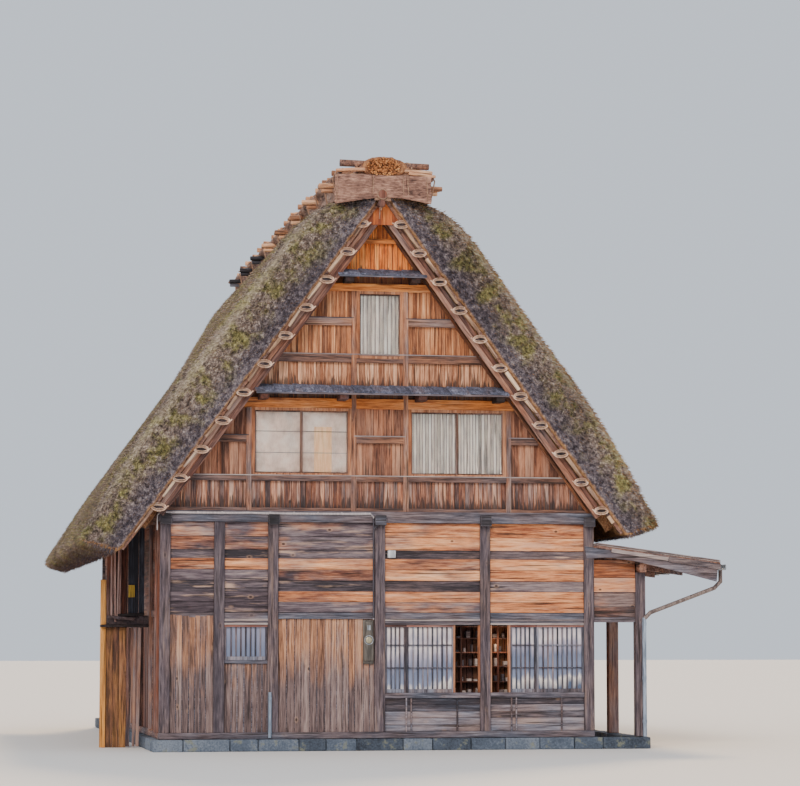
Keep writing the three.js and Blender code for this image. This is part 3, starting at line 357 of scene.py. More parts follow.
# The thin poles down the verges: bleached pale tan, the lightest wood on the house
POLE_LIGHT = cedar("peeled_poles_pale", "slope", ("#8a6a52", "#cfae90", "#f2dcc0"), UMBER, 0.15, 0.6)
# Poles across the ridge: pale orange in the sun
POLE_LIT = cedar("split_ridge_poles", "x", ("#96654a", "#dea47c", "#fbd0aa"), BROWN, 0.3, 0.3)
# The screen's planks and post: yellow-brown, painted bright as sunlit beside the old wood in shade
PLANK_SUNLIT = cedar("sunlit_cedar_planks", "z", PLANK_TAN, BROWN, 0.4, 0.4)
POST_SUNLIT = cedar("sunlit_cedar_post", "z", ("#8a5220", "#c27f36", "#e3a65c"), PLANK_TAN, 0.15, 0.3)
# Old planks in the shade, and the cut log ends at the apex: dark red-brown
PLANK_OLD = cedar("dark_side_planks", "z", RED_BROWN, UMBER, 0.2, 0.4)
# Spare poles under the eave: pinkish grey and thin
POLE_PINK = cedar("thin_weathered_poles", "z", ("#6d4e49", "#a98078", "#d3b0a6"), UMBER, 0.3, 0.0)
# The dark panel under the eave: blue-black, with the sky's light on its raised grain
PANEL_BLUE = cedar("blue_grey_panel", "z", ("#22242e", "#454a5a", "#6c7284"), SLATE, 0.3, 0.0)


# Real stalks are 5 mm thick, too fine to show, so the cut ends are drawn 17 mm apart
STRAW_PER_METRE = 60
CLUMPS_PER_METRE = 13  # tufts some 80 mm wide
MOSS_PER_METRE = 2.6  # patches some 0.4 m wide


def thatch_material(name, side):
    """Miscanthus thatch: stubbly straw ends, their grey darkened to a painted blue-grey shade on the inner
    part, mossy where rain reaches.
    """
    material, tree, shader = new_material(name, 0.95)
    place = add(tree, "TexCoord", out="Object")
    parts = add(tree, "SeparateXYZ", [place]).node.outputs
    lifted = add(tree, "Math", [parts["Z"], COS, -APEX * COS], operation="MULTIPLY_ADD")
    out = add(tree, "Math", [parts["X"], side * SIN, lifted], operation="MULTIPLY_ADD")
    speck = mottle(tree, place, [STRAW_PER_METRE] * 3, 4.0, 0.8)
    clumps = mottle(tree, place, [CLUMPS_PER_METRE] * 3, 5.0, 0.72)
    patches = mottle(tree, place, [MOSS_PER_METRE] * 3, 4.0, 0.65)
    broad = mottle(tree, place, (0.5, 0.5, 0.5), 3.0, 0.6)
    half = add(tree, "Math", [clumps, 0.5], operation="MULTIPLY")
    shade = add(tree, "Math", [speck, 0.5, half], operation="MULTIPLY_ADD")
    drift = add(tree, "Math", [broad, 0.5], operation="SUBTRACT")
    shade = add(tree, "Math", [drift, 0.16, shade], operation="MULTIPLY_ADD")
    # The straw ends' grey, darkened to blue-grey as painted shade for the coat's inner part
    shaded_ends = add(tree, "ValToRGB", [shade],
              stops=[(0.42, "#201c24"), (0.50, "#564e58"), (0.57, "#8b838a"), (0.64, "#cdc3bf")])
    straw = add(tree, "ValToRGB", [shade],
                stops=[(0.42, "#231c1c"), (0.50, "#6c5e58"), (0.57, "#a5968c"), (0.64, "#e8dccb")])
    moss = add(tree, "ValToRGB", [shade],
               stops=[(0.42, "#26240f"), (0.50, "#706d3c"), (0.58, "#a7a262"), (0.66, "#e0da9a")])
    reed = add(tree, "ValToRGB", [shade], stops=[(0.38, "#3c2a23"), (0.50, "#8f6d59"), (0.64, "#cba386")])
    dry = add(tree, "ValToRGB", [shade], stops=[(0.38, "#4a3322"), (0.50, "#a87b50"), (0.64, "#deb07c")])
    # Moss grows in patches on the rained on outer part of the coat
    mossy = add(tree, "ValToRGB", [patches], stops=[(0.47, 0.0), (0.60, 0.85)])
    outer = add(tree, "Mix", {0: mossy, 6: straw, 7: moss}, **MIX_COLOURS)
    # Further out the coat is rained on and mossy; nearer the boards it takes the painted shade
    edge = add(tree, "Math", [patches, 0.55, out], operation="MULTIPLY_ADD")
    rained_and_unshaded = add(tree, "ValToRGB", [edge], stops=[(0.46, 0.0), (0.74, 1.0)])
    colour = add(tree, "Mix", {0: rained_and_unshaded, 6: shaded_ends, 7: outer}, **MIX_COLOURS)
    # Against the boards the reed is new and brown, painted lighter than the deep shade there would show it
    inner = add(tree, "ValToRGB", [out], stops=[(0.00, 1.0), (0.05, 0.0)])
    colour = add(tree, "Mix", {0: inner, 6: colour, 7: reed}, **MIX_COLOURS)
    # The verges' outer corner is dry straw, with a painted highlight of pale straw where the sun catches it
    from_middle = add(tree, "Math", [parts["Y"], LENGTH / 2], operation="SUBTRACT")
    from_middle = add(tree, "Math", [from_middle], operation="ABSOLUTE")
    overhang = add(tree, "Math", [from_middle, LENGTH / 2], operation="SUBTRACT")
    rim = add(tree, "ValToRGB", [overhang], stops=[(0.20, 0.0), (0.34, 1.0), (0.44, 0.0)])
    ragged = add(tree, "Math", [clumps, 0.4, out], operation="MULTIPLY_ADD")
    ragged = add(tree, "ValToRGB", [ragged], stops=[(0.86, 0.0), (1.0, 1.0)])
    corner = add(tree, "Math", [rim, ragged], operation="MULTIPLY")
    corner = add(tree, "Math", [corner, 0.35], operation="MULTIPLY")
    colour = add(tree, "Mix", {0: corner, 6: colour, 7: "#d9cdb2"}, **MIX_COLOURS)
    # No rain reaches the eave's underside, which stays the tan of dry straw
    facing = add(tree, "NewGeometry", out="Normal")
    down = add(tree, "Math", [add(tree, "SeparateXYZ", [facing], out="Z"), -1.0], operation="MULTIPLY")
    under = add(tree, "ValToRGB", [down], stops=[(0.20, 0.0), (0.55, 1.0)])
    colour = add(tree, "Mix", {0: under, 6: colour, 7: dry}, **MIX_COLOURS)
    surface(tree, shader, colour, shade, 0.03)
    return material


def fibre_material(name, dark, middle, light, per_metre, relief=0.01):
    """Bundled plant fibre: bark strips, reed or straw rope, seen as fine broken strands."""
    material, tree, shader = new_material(name, 0.92)
    place = add(tree, "TexCoord", out="Object")
    strands = mottle(tree, place, per_metre, 4.0, 0.7)
    broad = mottle(tree, place, [p * 0.16 for p in per_metre], 3.0)
    share = add(tree, "Math", [broad, 0.4], operation="MULTIPLY")
    shade = add(tree, "Math", [strands, 0.6, share], operation="MULTIPLY_ADD")
    colour = add(tree, "ValToRGB", [shade], stops=[(0.36, dark), (0.50, middle), (0.66, light)])
    surface(tree, shader, colour, strands, relief)
    return material


# Bark mats over the ridge: pinkish brown, in torn bands 30 mm high
BARK = fibre_material("cedar_bark_mat", "#2e2320", "#7f6256", "#ba9c8a", (5, 9, 34), 0.02)
# The strips hung over its ends: redder, because they hang out of the rain
BARK_STRIP = fibre_material("cedar_bark_strips", "#382624", "#8a675a", "#c69d88", (9, 9, 34), 0.015)
# New straw rope of the verges' ties: pale, its strands drawn 11 mm apart, twice as coarse as real ones
ROPE = fibre_material("straw_rope", "#96705c", "#e2bfa6", "#fff0de", (90, 90, 90), 0.004)
# Rope over the ridge and at the apex: the same, weathered brown
ROPE_OLD = fibre_material("weathered_straw_rope", "#57433a", "#937360", "#bb9c84", (90, 90, 90), 0.004)
# Reed packed in over the boards: dry and brown, in tufts 38 mm wide, as its stalks are too fine to show
REED_FILL = fibre_material("packed_reed", "#45291c", "#9a6d4d", "#cda078", (26, 26, 26), 0.02)
# The long bundle along the ridge: brown stalks, drawn 17 mm apart, coarser than real ones so they show
BUNDLE = fibre_material("reed_bundle", "#3b2820", "#966446", "#cf9a6c", (60, 4, 60), 0.02)
# Its cut ends: bright orange tan, 33 mm from tuft to tuft
REED_ENDS = fibre_material("reed_bundle_ends", "#4a2b1a", "#ae6d3e", "#ecbb80", (30, 4, 30), 0.03)


def stone_material():
    """River stone, split and set dry: matt and blue-grey, with lichen in pale green spots.

    Its grain is too fine to show, so it is drawn 36 mm apart.
    """
    material, tree, shader = new_material("split_river_stone", 0.9)
    place = add(tree, "TexCoord", out="Object")
    speck = mottle(tree, place, (28, 28, 28), 5.0, 0.7)
    broad = mottle(tree, place, (3, 3, 3), 3.0)
    tone = add(tree, "Attribute", out="Fac", attribute_name="tone")
    shade = add(tree, "Math", [broad, 0.3], operation="MULTIPLY")
    shade = add(tree, "Math", [speck, 0.5, shade], operation="MULTIPLY_ADD")
    shade = add(tree, "Math", [tone, 0.2, shade], operation="MULTIPLY_ADD")
    colour = add(tree, "ValToRGB", [shade], stops=[(0.32, "#262d38"), (0.52, "#535f70"), (0.74, "#8b95a2")])
    lichen = add(tree, "ValToRGB", [mottle(tree, place, (6, 6, 6), 4.0)], stops=[(0.58, 0.0), (0.66, 0.7)])
    colour = add(tree, "Mix", {0: lichen, 6: colour, 7: "#7c7f6c"}, **MIX_COLOURS)
    surface(tree, shader, colour, speck, 0.02)
    return material


def paper_material():
    """Handmade paper behind glass: warm white and slightly cloudy, with fibres drawn 17 mm apart."""
    material, tree, shader = new_material("shoji_paper", 0.7)
    place = add(tree, "TexCoord", out="Object")
    cloud = mottle(tree, place, (2.2, 2.2, 2.2), 3.0)
    fibre = mottle(tree, place, (60, 60, 14), 3.0)
    share = add(tree, "Math", [fibre, 0.2], operation="MULTIPLY")
    shade = add(tree, "Math", [cloud, 0.8, share], operation="MULTIPLY_ADD")
    colour = add(tree, "ValToRGB", [shade], stops=[(0.35, "#c8a898"), (0.5, "#e9cfc1"), (0.65, "#fbebe0")])
    surface(tree, shader, colour, fibre, 0.001)
    return material


SKY_FOOT, SKY_HEIGHT = 1.20, 1.6
SMALL_WINDOW_LEVEL = 0.40  # how far up the sky's colours the small window's panes are drawn together


def sky_glass_material():
    """Old sheet glass over paper, with painted reflections: pale at the top, slate blue in the middle, a
    bright streak low down.
    """
    material, tree, shader = new_material("sheet_glass_painted_reflections", 0.12)
    place = add(tree, "TexCoord", out="Object")
    parts = add(tree, "SeparateXYZ", [place]).node.outputs
    clouds = mottle(tree, place, (1.4, 1.4, 2.6), 2.0, 0.5)
    level = add(tree, "Math", [clouds, 0.45, parts["Z"]], operation="MULTIPLY_ADD")
    streaks = mottle(tree, place, (13, 13, 1.2), 2.0, 0.5)
    level = add(tree, "Math", [streaks, 0.55, level], operation="MULTIPLY_ADD")
    aside = add(tree, "Math", [parts["X"]], operation="ABSOLUTE")
    level = add(tree, "Math", [aside, -0.09, level], operation="MULTIPLY_ADD")
    share = add(tree, "Math", [level, SKY_FOOT], operation="SUBTRACT")
    share = add(tree, "Math", [share, SKY_HEIGHT], operation="DIVIDE")
    small = add(tree, "Math", [parts["X"], -0.5], operation="LESS_THAN")
    away = add(tree, "Math", [SMALL_WINDOW_LEVEL, share], operation="SUBTRACT")
    away = add(tree, "Math", [small, away], operation="MULTIPLY")
    share = add(tree, "Math", [away, 0.75, share], operation="MULTIPLY_ADD")
    colour = add(tree, "ValToRGB", [share],
                 stops=[(0.06, "#5a6c8c"), (0.20, "#f6f1ec"), (0.27, "#8c99ba"), (0.44, "#7985a4"),
                        (0.56, "#b3b0c8"), (0.66, "#efe7ec"), (0.78, "#cac2d0"), (0.92, "#f3eae8")])
    surface(tree, shader, colour, mottle(tree, place, (5, 5, 2), 2.0), 0.002)
    return material


def clear_glass_material():
    """Window glass: thin, clear and slightly wavy, 0.25 m from wave to wave, so its shine breaks up."""
    material, tree, shader = new_material("window_glass", 0.05)
    shader.inputs["Transmission Weight"].default_value = 1.0
    shader.inputs["IOR"].default_value = 1.1  # low, because the panes are solid and would bend the view
    waves = mottle(tree, add(tree, "TexCoord", out="Object"), (4, 4, 2), 2.0)
    colour = add(tree, "ValToRGB", [waves], stops=[(0.3, "#eef3f5"), (0.7, "#ffffff")])
    surface(tree, shader, colour, waves, 0.002)
    return material


def dulled_material(name, colour, stain, roughness):
    """A smooth skin that has gone dull, with darker runs of dirt down it, some 30 mm apart."""
    material, tree, shader = new_material(name, roughness, 0.35)
    place = add(tree, "TexCoord", out="Object")
    runs = mottle(tree, place, (30, 30, 3), 4.0)
    tint = add(tree, "ValToRGB", [runs], stops=[(0.4, stain), (0.6, colour)])
    surface(tree, shader, tint, runs, 0.001)
    return material


STONE = stone_material()
PAPER = paper_material()
SKY_GLASS = sky_glass_material()
CLEAR_GLASS = clear_glass_material()
# Paper painted as if lit by a lamp behind it: even and warm
WARM_PAPER = dulled_material("lamp_lit_paper", "#ffdcb4", "#f4c69a", 0.8)
# Cloth between the blinds' slats, in their shade: dull pinkish grey
BLIND_SHADE = dulled_material("shaded_cloth_behind_slats", "#cabab0", "#a09797", 0.8)
# Zinc-coated steel gutter: pale blue-grey, streaked dark
ZINC = dulled_material("dull_zinc_sheet", "#a9b1ba", "#6f757c", 0.5)
# Vinyl pipe: grey, tinted blue as painted shade where it stands and painted tan as sunlight where it slants
PIPE_GREY = dulled_material("grey_vinyl_pipe", "#a3b2c6", "#748294", 0.6)
PIPE_TAN = dulled_material("vinyl_pipe_painted_sunlit", "#8d7f7b", "#5f5351", 0.6)
# Enamelled meter case: brown-grey, with a low sheen
METER_GREY = dulled_material("enamelled_meter_case", "#6b6660", "#484440", 0.5)
# The meter's glass dome, dusty, with its pale dial seen through it
METER_DIAL = dulled_material("dusty_meter_glass", "#b7ae90", "#8c8670", 0.4)
# Cable sheath: light grey vinyl, and a dark sleeve where it comes down to the meter
CONDUIT_GREY = dulled_material("grey_cable_sheath", "#bdb6b8", "#a8a1a5", 0.6)
CONDUIT_DARK = dulled_material("dark_cable_sleeve", "#4d4a54", "#34323b", 0.6)
# The small box on the wall: off-white enamel
BOX_PALE = dulled_material("pale_enamelled_box", "#d9dde2", "#a9adb3", 0.6)
# The bare plate under the eave: mustard yellow enamel, worn
YELLOW_PLATE = dulled_material("yellow_enamel_plate", "#c8a43a", "#8f7430", 0.5)

# Modelling tools: every piece is one object at the origin, modelled in place


def start(name):
    """Makes an empty mesh object and opens it for modelling."""
    bpy.ops.object.select_all(action="DESELECT")
    bpy.ops.object.add(type="MESH", location=(0, 0, 0))
    piece = bpy.context.object
    piece.name = name
    piece.data.name = name
    bpy.ops.object.mode_set(mode="EDIT")
    return piece


# On a wall, x runs to the right as seen from outside, and y runs into the house


def facing_front(x, y):
    return x, y


def facing_left(x, y):
    return -HALF_WIDTH + y, -x


def facing_right(x, y):
    return HALF_WIDTH - y, x


def facing_back(x, y):
    return -x, LENGTH - y


def slab(centre, size, turn=(0, 0, 0)):
    """Adds a box of the given size, turned about its centre."""
    bpy.ops.mesh.primitive_cube_add(size=1, location=centre, rotation=turn, scale=size)


def block(x0, x1, y0, y1, z0, z1, turn=(0, 0, 0), facing=facing_front):
    """Adds a box between two corners, on a wall that faces the given way, turned about its centre."""
    ax, ay = facing(x0, y0)
    bx, by = facing(x1, y1)
    slab(((ax + bx) / 2, (ay + by) / 2, (z0 + z1) / 2), (abs(bx - ax), abs(by - ay), z1 - z0), turn)


def rectangle(x0, x1, z0, z1, y0, y1, side, foot, head, facing=facing_front):
    """Adds a frame of four bars: two stiles of the full height, then a foot and a head between them."""
    for a, b in ((x0, x0 + side), (x1 - side, x1)):
        block(a, b, y0, y1, z0, z1, facing=facing)
    for a, b in ((z0, z0 + foot), (z1 - head, z1)):
        block(x0 + side, x1 - side, y0, y1, a, b, facing=facing)


def pole(first, last, radius, sides=10, thin=None):
    """Adds a round pole between two points, thinner at its last end where thin gives that radius."""
    first, last = Vector(first), Vector(last)
    along = last - first
    bpy.ops.mesh.primitive_cone_add(
        vertices=sides, radius1=radius, radius2=radius if thin is None else thin, depth=along.length,
        location=(first + last) / 2, rotation=along.to_track_quat("Z", "Y").to_euler())


def ball(centre, radius, segments=12):
    bpy.ops.mesh.primitive_uv_sphere_add(segments=segments, ring_count=segments // 2, radius=radius,
                                         location=centre)


def loop(centre, turn, radius, thick, around=14, sides=5, stretch=(1, 1, 1)):
    """Adds one turn of rope, stretched along the axes about its centre."""
    bpy.ops.mesh.primitive_torus_add(location=centre, rotation=turn, major_radius=radius,
                                     minor_radius=thick, major_segments=around, minor_segments=sides)
    bpy.ops.transform.resize(value=stretch, center_override=centre)


def bevel(width, segments=1):
    bpy.ops.mesh.select_all(action="SELECT")
    bpy.ops.mesh.bevel(offset=width, segments=segments, affect="EDGES", clamp_overlap=True)


def cut_away(point, normal):
    """Cuts off what lies on the side that the normal points to."""
    bpy.ops.mesh.select_all(action="SELECT")
    bpy.ops.mesh.bisect(plane_co=point, plane_no=normal, use_fill=True, clear_outer=True)


def apply_modifier(piece, kind, **settings):
    """Adds a modifier, sets it up and applies it."""
    modifier = piece.modifiers.new(kind.lower(), kind)
    for name, value in settings.items():
        setattr(modifier, name, value)
    bpy.context.view_layer.objects.active = piece
    bpy.ops.object.modifier_apply(modifier=modifier.name)


def roughen(piece, size, strength, direction="NORMAL"):
    """Displaces a surface by a cloud pattern of the given lump size."""
    clouds = bpy.data.textures.new("lumps", "CLOUDS")
    clouds.noise_scale = size
    clouds.noise_depth = 2
    apply_modifier(piece, "DISPLACE", texture=clouds, texture_coords="GLOBAL", strength=strength,
                   mid_level=0.5, direction=direction)


def islands(mesh):
    """The number of the loose part that each vertex belongs to."""
    ends = np.empty(len(mesh.edges) * 2, dtype=np.int64)
    mesh.edges.foreach_get("vertices", ends)
    ends = ends.reshape(-1, 2)
    label = np.arange(len(mesh.vertices))
    while True:
        lower = np.minimum(label[ends[:, 0]], label[ends[:, 1]])
        new = label.copy()
        np.minimum.at(new, ends[:, 0], lower)
        np.minimum.at(new, ends[:, 1], lower)
        new = new[new]
        if np.array_equal(new, label):
            return np.unique(label, return_inverse=True)[1]
        label = new


def points_of(mesh):
    """The vertices' places, as an array of rows."""
    places = np.empty(len(mesh.vertices) * 3)
    mesh.vertices.foreach_get("co", places)
    return places.reshape(-1, 3)


def store(mesh, name, values):
    """Stores one number for each vertex."""
    mesh.attributes.new(name, "FLOAT", "POINT").data.foreach_set("value", np.ascontiguousarray(values))


def evenly(amount):
    """The same weather for every part of a piece."""
    return lambda x, z, tones: np.full(len(x), amount)


def close(piece, material, slot, edge=0.0, rounds=1, seed=1, smooth=False, replaces=(), weather=None,
          vary=1.0):
    """Ends the modelling: rounds the edges, gives each loose part its own tone, and dresses the piece.

    weather gives what rain and sun add to the aging of each part, from its middle's place across and
    height and from its tone; vary is how far apart the tones lie.
    """
    if edge:
        bevel(edge, rounds)
    if piece.mode == "EDIT":
        bpy.ops.object.mode_set(mode="OBJECT")
    mesh = piece.data
    part = islands(mesh)
    tones = 0.5 + vary * (np.random.default_rng(seed).random(part.max() + 1) - 0.5)
    store(mesh, "tone", tones[part])
    if weather:
        places = points_of(mesh)
        count = np.bincount(part)
        middle = [np.bincount(part, places[:, axis]) / count for axis in (0, 2)]
        store(mesh, "weather", np.clip(weather(*middle, tones), -0.8, 1.6)[part])
    mesh.materials.clear()
    mesh.materials.append(material)
    piece.select_set(True)
    bpy.context.view_layer.objects.active = piece
    if smooth:
        bpy.ops.object.shade_smooth_by_angle(angle=math.radians(40))
    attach(piece, "root")
    if replaces:
        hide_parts(*replaces)
    piece.select_set(False)
    return piece


def merged_copy(node, name):
    """A copy of a construction piece with its doubled points merged, selected and active."""
    piece = start(name)
    bpy.ops.object.mode_set(mode="OBJECT")
    piece.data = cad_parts[node].data.copy()
    bpy.ops.object.mode_set(mode="EDIT")
    bpy.ops.mesh.select_all(action="SELECT")
    bpy.ops.mesh.remove_doubles(threshold=0.0002)
    bpy.ops.mesh.dissolve_limited(angle_limit=math.radians(1))
    bpy.ops.object.mode_set(mode="OBJECT")
    return piece


def worn_copy(node, material, slot, edge=0.008, segments=2, **finish):
    """A construction piece with its edges worn round; it stands for that piece."""
    piece = merged_copy(node, node + "_worn")
    apply_modifier(piece, "BEVEL", width=edge, segments=segments, limit_method="ANGLE",
                   angle_limit=math.radians(30))
    return close(piece, material, slot, replaces=(node,), **finish)


def paint(nodes, material):
    """Gives construction pieces that stay in view their finish."""
    for name in nodes:
        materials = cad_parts[name].data.materials
        materials.clear()
        materials.append(material)


def copies(model, name, places):
    """Copies a small model to many places, given as matrices, and joins the copies."""
    made = []
    for place in places:
        copy = model.copy()
        copy.data = model.data.copy()
        copy.data.transform(place)
        bpy.context.scene.collection.objects.link(copy)
        made.append(copy)
    bpy.data.objects.remove(model)
    bpy.ops.object.select_all(action="DESELECT")
    for copy in made:
        copy.select_set(True)
    bpy.context.view_layer.objects.active = made[0]
    bpy.ops.object.join()
    piece = bpy.context.object
    piece.name = name
    return piece


def widths(total, typical, rng):
    """Splits a length into uneven board widths near a typical one."""
    count = max(1, round(total / typical))
    shares = [rng.uniform(0.7, 1.3) for _ in range(count)]
    return [total * share / sum(shares) for share in shares]


JOINT = 0.013  # gap between upright boards, which have shrunk
LYING_JOINT = 0.006


def upright_boards(x0, x1, z0, z1, rng, typical=0.13, front=0.0, ragged=0.0, facing=facing_front):
    """Adds upright boards side by side on a wall."""
    x = x0
    for width in widths(x1 - x0, typical, rng):
        stand = rng.uniform(0, 0.009)
        top = z1 - rng.uniform(0, ragged)
        block(x + JOINT / 2, x + width - JOINT / 2, front - stand, front + 0.02, z0, top, facing=facing)
        x += width


def lying_boards(x0, x1, levels, front, rng, facing=facing_front):
    """Adds lying boards between the given levels, each standing out by its own amount."""
    for z0, z1, stand in levels:
        proud = stand + rng.uniform(-0.003, 0.004)
        block(x0, x1, front - proud, front + 0.005, z0 + LYING_JOINT / 2, z1 - LYING_JOINT / 2,
              facing=facing)

# Walls

WALL_FACE = -0.020
BAYS = [(a + HALF_POST, b - HALF_POST) for a, b in zip(POST_LINES, POST_LINES[1:])]
PROUD_ROWS = [(2.50, 2.69), (2.69, 2.885), (3.08, 3.28), (3.28, 3.484), (3.64, 3.88), (3.88, GIRT_BOTTOM)]
SHADED_ROWS = [(2.885, 3.08), (3.484, 3.64)]  # set back between the proud ones


def front_weather(x, z, tones):
    """How far the front's lying boards have greyed; the right half has kept its warm colour."""
    left = x < -0.1
    third_bay = (np.abs(x + BAY / 2) < 0.5) * 0.5 * (z - 3.2)
    kept_rows = left * ((np.abs(z - 3.38) < 0.08) + 0.7 * (np.abs(z - 2.79) < 0.05) * (x > -BAY))
    low = (x < -BAY) * (z < 3.3) + 0.8 * (np.abs(x) < BAY) * (z < 2.68)
    high = (x < -BAY) * (z > 3.9)
    greyed = 0.66 * left + third_bay - 0.75 * kept_rows + low + 0.20 * high - 0.15 * (x > BAY)
    return greyed + 0.15 * (tones - 0.5)


def upright_weather(x, z, tones):
    """The first bays' upright boards are a little greyer than the third's."""
    return 0.25 * (x < -BAY) + 0.3 * (tones - 0.5)


def front_boards():
    """Lying boards in proud and set back rows over upright ones, and low panels under the windows."""
    rng = random.Random(4)
    for name, rows, stand, material in (("front_lying_boards", PROUD_ROWS, 0.030, BOARD_LYING),
                                        ("front_set_back_boards", SHADED_ROWS, 0.004, BOARD_SHADED)):
        piece = start(name)
        for x0, x1 in BAYS:
            lying_boards(x0, x1, [(z0, z1, stand) for z0, z1 in rows], WALL_FACE, rng)
        close(piece, material, "boards", 0.005, seed=11, weather=front_weather, vary=0.6)
    piece = start("front_upright_boards")
    proud, window_sill = WALL_FACE - 0.006, 0.062
    upright_boards(*BAYS[0], SILL_TOP, 2.46, rng, 0.115, proud, 0.05)
    upright_boards(*BAYS[1], SILL_TOP, SMALL_WINDOW_BOTTOM - window_sill, rng, 0.115, WALL_FACE)
    upright_boards(*BAYS[2], SILL_TOP, 2.42, rng, 0.125, proud, 0.04)
    close(piece, BOARD_UPRIGHT, "boards", 0.004, seed=12, vary=0.55, weather=upright_weather)
    piece = start("front_low_boards")
    row = (LEDGE_BOTTOM - SILL_TOP) / 5
    rows = [(SILL_TOP + row * i, SILL_TOP + row * (i + 1), 0.012 + 0.006 * (i % 2)) for i in range(5)]
    batten = 0.013
    for x0, x1 in BAYS[3:]:
        lying_boards(x0, x1, rows, WALL_FACE, rng)
        for x in (x0 + 0.40, x0 + 0.49, x1 - 0.43):
            block(x - batten, x + batten, WALL_FACE - 0.05, WALL_FACE - 0.01, SILL_TOP, LEDGE_BOTTOM)
    close(piece, BOARD_LOW, "boards", 0.004, seed=13)


def front_frame():
    """The posts, girt, sill and ledges with worn edges, and the heads of the beams over the posts."""
    for i in range(7):
        finish = POST_DARK if i == 1 else POST_UPRIGHT
        worn_copy(f"front_post_{i + 1}", finish, "timber", 0.012, seed=30 + i, vary=0.3)
    worn_copy("front_girt", BEAM_LYING, "dark_timber", 0.014)
    piece = start("front_girt_heads")
    half, front, back, bottom, top = 0.103, -0.193, -0.112, 4.092, 4.278
    for x in (-2 * BAY, -BAY, 0, BAY, 2 * BAY):
        block(x - half, x + half, front, back, bottom, top)
    close(piece, BEAM_DARK, "dark_timber", 0.014, 2, seed=38)
    worn_copy("front_sill", BEAM_LYING, "timber", 0.012)
    for name in ("front_upper_boards", "front_lower_boards_left", "front_lower_boards_right"):
        worn_copy(name, BEAM_LYING, "timber", 0.006)


def front_small_frames():
    """Light double rails under the lintels, and the warm-edged frames beside the open windows."""
    piece = start("front_lintel_rails")
    for x0, x1 in (BAYS[1], BAYS[3], BAYS[4]):
        for z0, z1, front in ((LINTEL_BOTTOM, 2.312, -0.074), (2.348, 2.385, -0.082)):
            block(x0, x1, front, -0.05, z0, z1)
    close(piece, RAIL_SILVER, "timber", 0.005, seed=41)
    piece = start("front_window_jambs")
    half = 0.018
    for x in (1.39, 1.86, 2.08, 2.426):
        block(x - half, x + half, -0.055, 0.03, LEDGE_TOP, LINTEL_BOTTOM)
    close(piece, SASH_WARM, "cedar", 0.003, seed=42)


ROOM_LEFT, ROOM_RIGHT, ROOM_BOTTOM, ROOM_TOP = 1.15, 2.85, 0.62, 2.4
SHELF_FRONT, SHELF_BACK, SHELF_THICK = 0.34, 0.515, 0.022
SHELVES = (0.95, 1.22, 1.50, 1.76, 2.02, 2.24)
SHELF_ENDS = (1.18, 1.60, 2.02, 2.30, 2.58, 2.82)


def front_room_shelves():
    """Shelves of boxes against a boarded wall, seen through the open leaves."""
    rng = random.Random(77)
    piece = start("room_back_boards")
    upright_boards(ROOM_LEFT, ROOM_RIGHT, ROOM_BOTTOM, ROOM_TOP, rng, 0.12, SHELF_BACK + 0.005)
    close(piece, BOARD_TOP, "cedar", 0.003, seed=43, weather=lambda x, z, tones: 0.9 * (x < BAY))
    piece = start("room_shelves")
    for z in SHELVES:
        block(ROOM_LEFT, ROOM_RIGHT, SHELF_FRONT, SHELF_BACK, z, z + SHELF_THICK)
    for x in SHELF_ENDS:
        block(x - 0.016, x + 0.016, SHELF_FRONT - 0.01, SHELF_BACK, ROOM_BOTTOM, ROOM_TOP)
    close(piece, PLANK_OLD, "cedar", 0.003, seed=44)
    piece = start("room_boxes")
    for z in SHELVES[:-1]:
        x = 1.22
        while x < 2.72:
            wide, tall = rng.uniform(0.03, 0.09), rng.uniform(0.03, 0.15)
            block(x, x + wide, 0.35, 0.48, z + SHELF_THICK, z + SHELF_THICK + tall)
            x += wide + rng.uniform(0.02, 0.13)
    close(piece, RAIL_SILVER, "cedar", 0.006, seed=45, vary=2.6)


SIDE_ROW = 0.227  # height of a lying board on the sides and the back
SIDE_LEVELS = [LINTEL_TOP + 0.06 + SIDE_ROW * i for i in range(7)]
SIDE_ROWS = [(z, z + SIDE_ROW, 0.012 + 0.01 * (i % 2)) for i, z in enumerate(SIDE_LEVELS)]


def plain_wall_boards(name, spans, facing, upright_finish, lying_finish, seed):
    """Boarding between the posts of a side or back wall, and the posts' faces with upright grain."""
    rng = random.Random(seed)
    piece = start(name + "_upright_boards")
    for x0, x1 in spans:
        upright_boards(x0, x1, SILL_TOP, LINTEL_TOP - 0.06, rng, 0.16, WALL_FACE - 0.004, facing=facing)
    close(piece, upright_finish, "boards", 0.004, seed=seed)
    piece = start(name + "_lying_boards")
    for x0, x1 in spans:
        lying_boards(x0, x1, SIDE_ROWS, WALL_FACE, rng, facing=facing)
    close(piece, lying_finish, "boards", 0.004, seed=seed + 1)
    piece = start(name + "_post_faces")
    over = 0.003
    for (_, left), (right, _) in zip(spans, spans[1:]):
        block(left - over, right + over, -HALF_POST - over, -0.03, SILL_TOP, GIRT_BOTTOM, facing=facing)
    close(piece, POST_SIDE, "timber", 0.012, 2, seed=seed + 2)


def side_and_back_walls():
    lines = [i * BAY for i in range(8)]
    spans = [(a + HALF_POST, b - HALF_POST) for a, b in zip(lines, lines[1:])]
    behind = [(-b, -a) for a, b in reversed(spans)]
    plain_wall_boards("left_wall", behind, facing_left, PLANK_OLD, BOARD_SIDE_RED, 51)
    plain_wall_boards("right_wall", spans, facing_right, BOARD_SIDE_UPRIGHT, BOARD_SIDE, 53)
    plain_wall_boards("back_wall", [(-b, -a) for a, b in reversed(BAYS)], facing_back, BOARD_SIDE_UPRIGHT,
                      BOARD_LYING, 55)
    for name in ("left_wall", "right_wall", "left_girt", "right_girt"):
        worn_copy(name, BEAM_SIDE, "timber", 0.01)
    worn_copy("back_wall", BEAM_LYING, "timber", 0.01)
    worn_copy("back_girt", BEAM_LYING, "timber", 0.01)
    paint(["ground_floor", "attic_floor", "loft_floor"], BOARD_SIDE)


# Gables

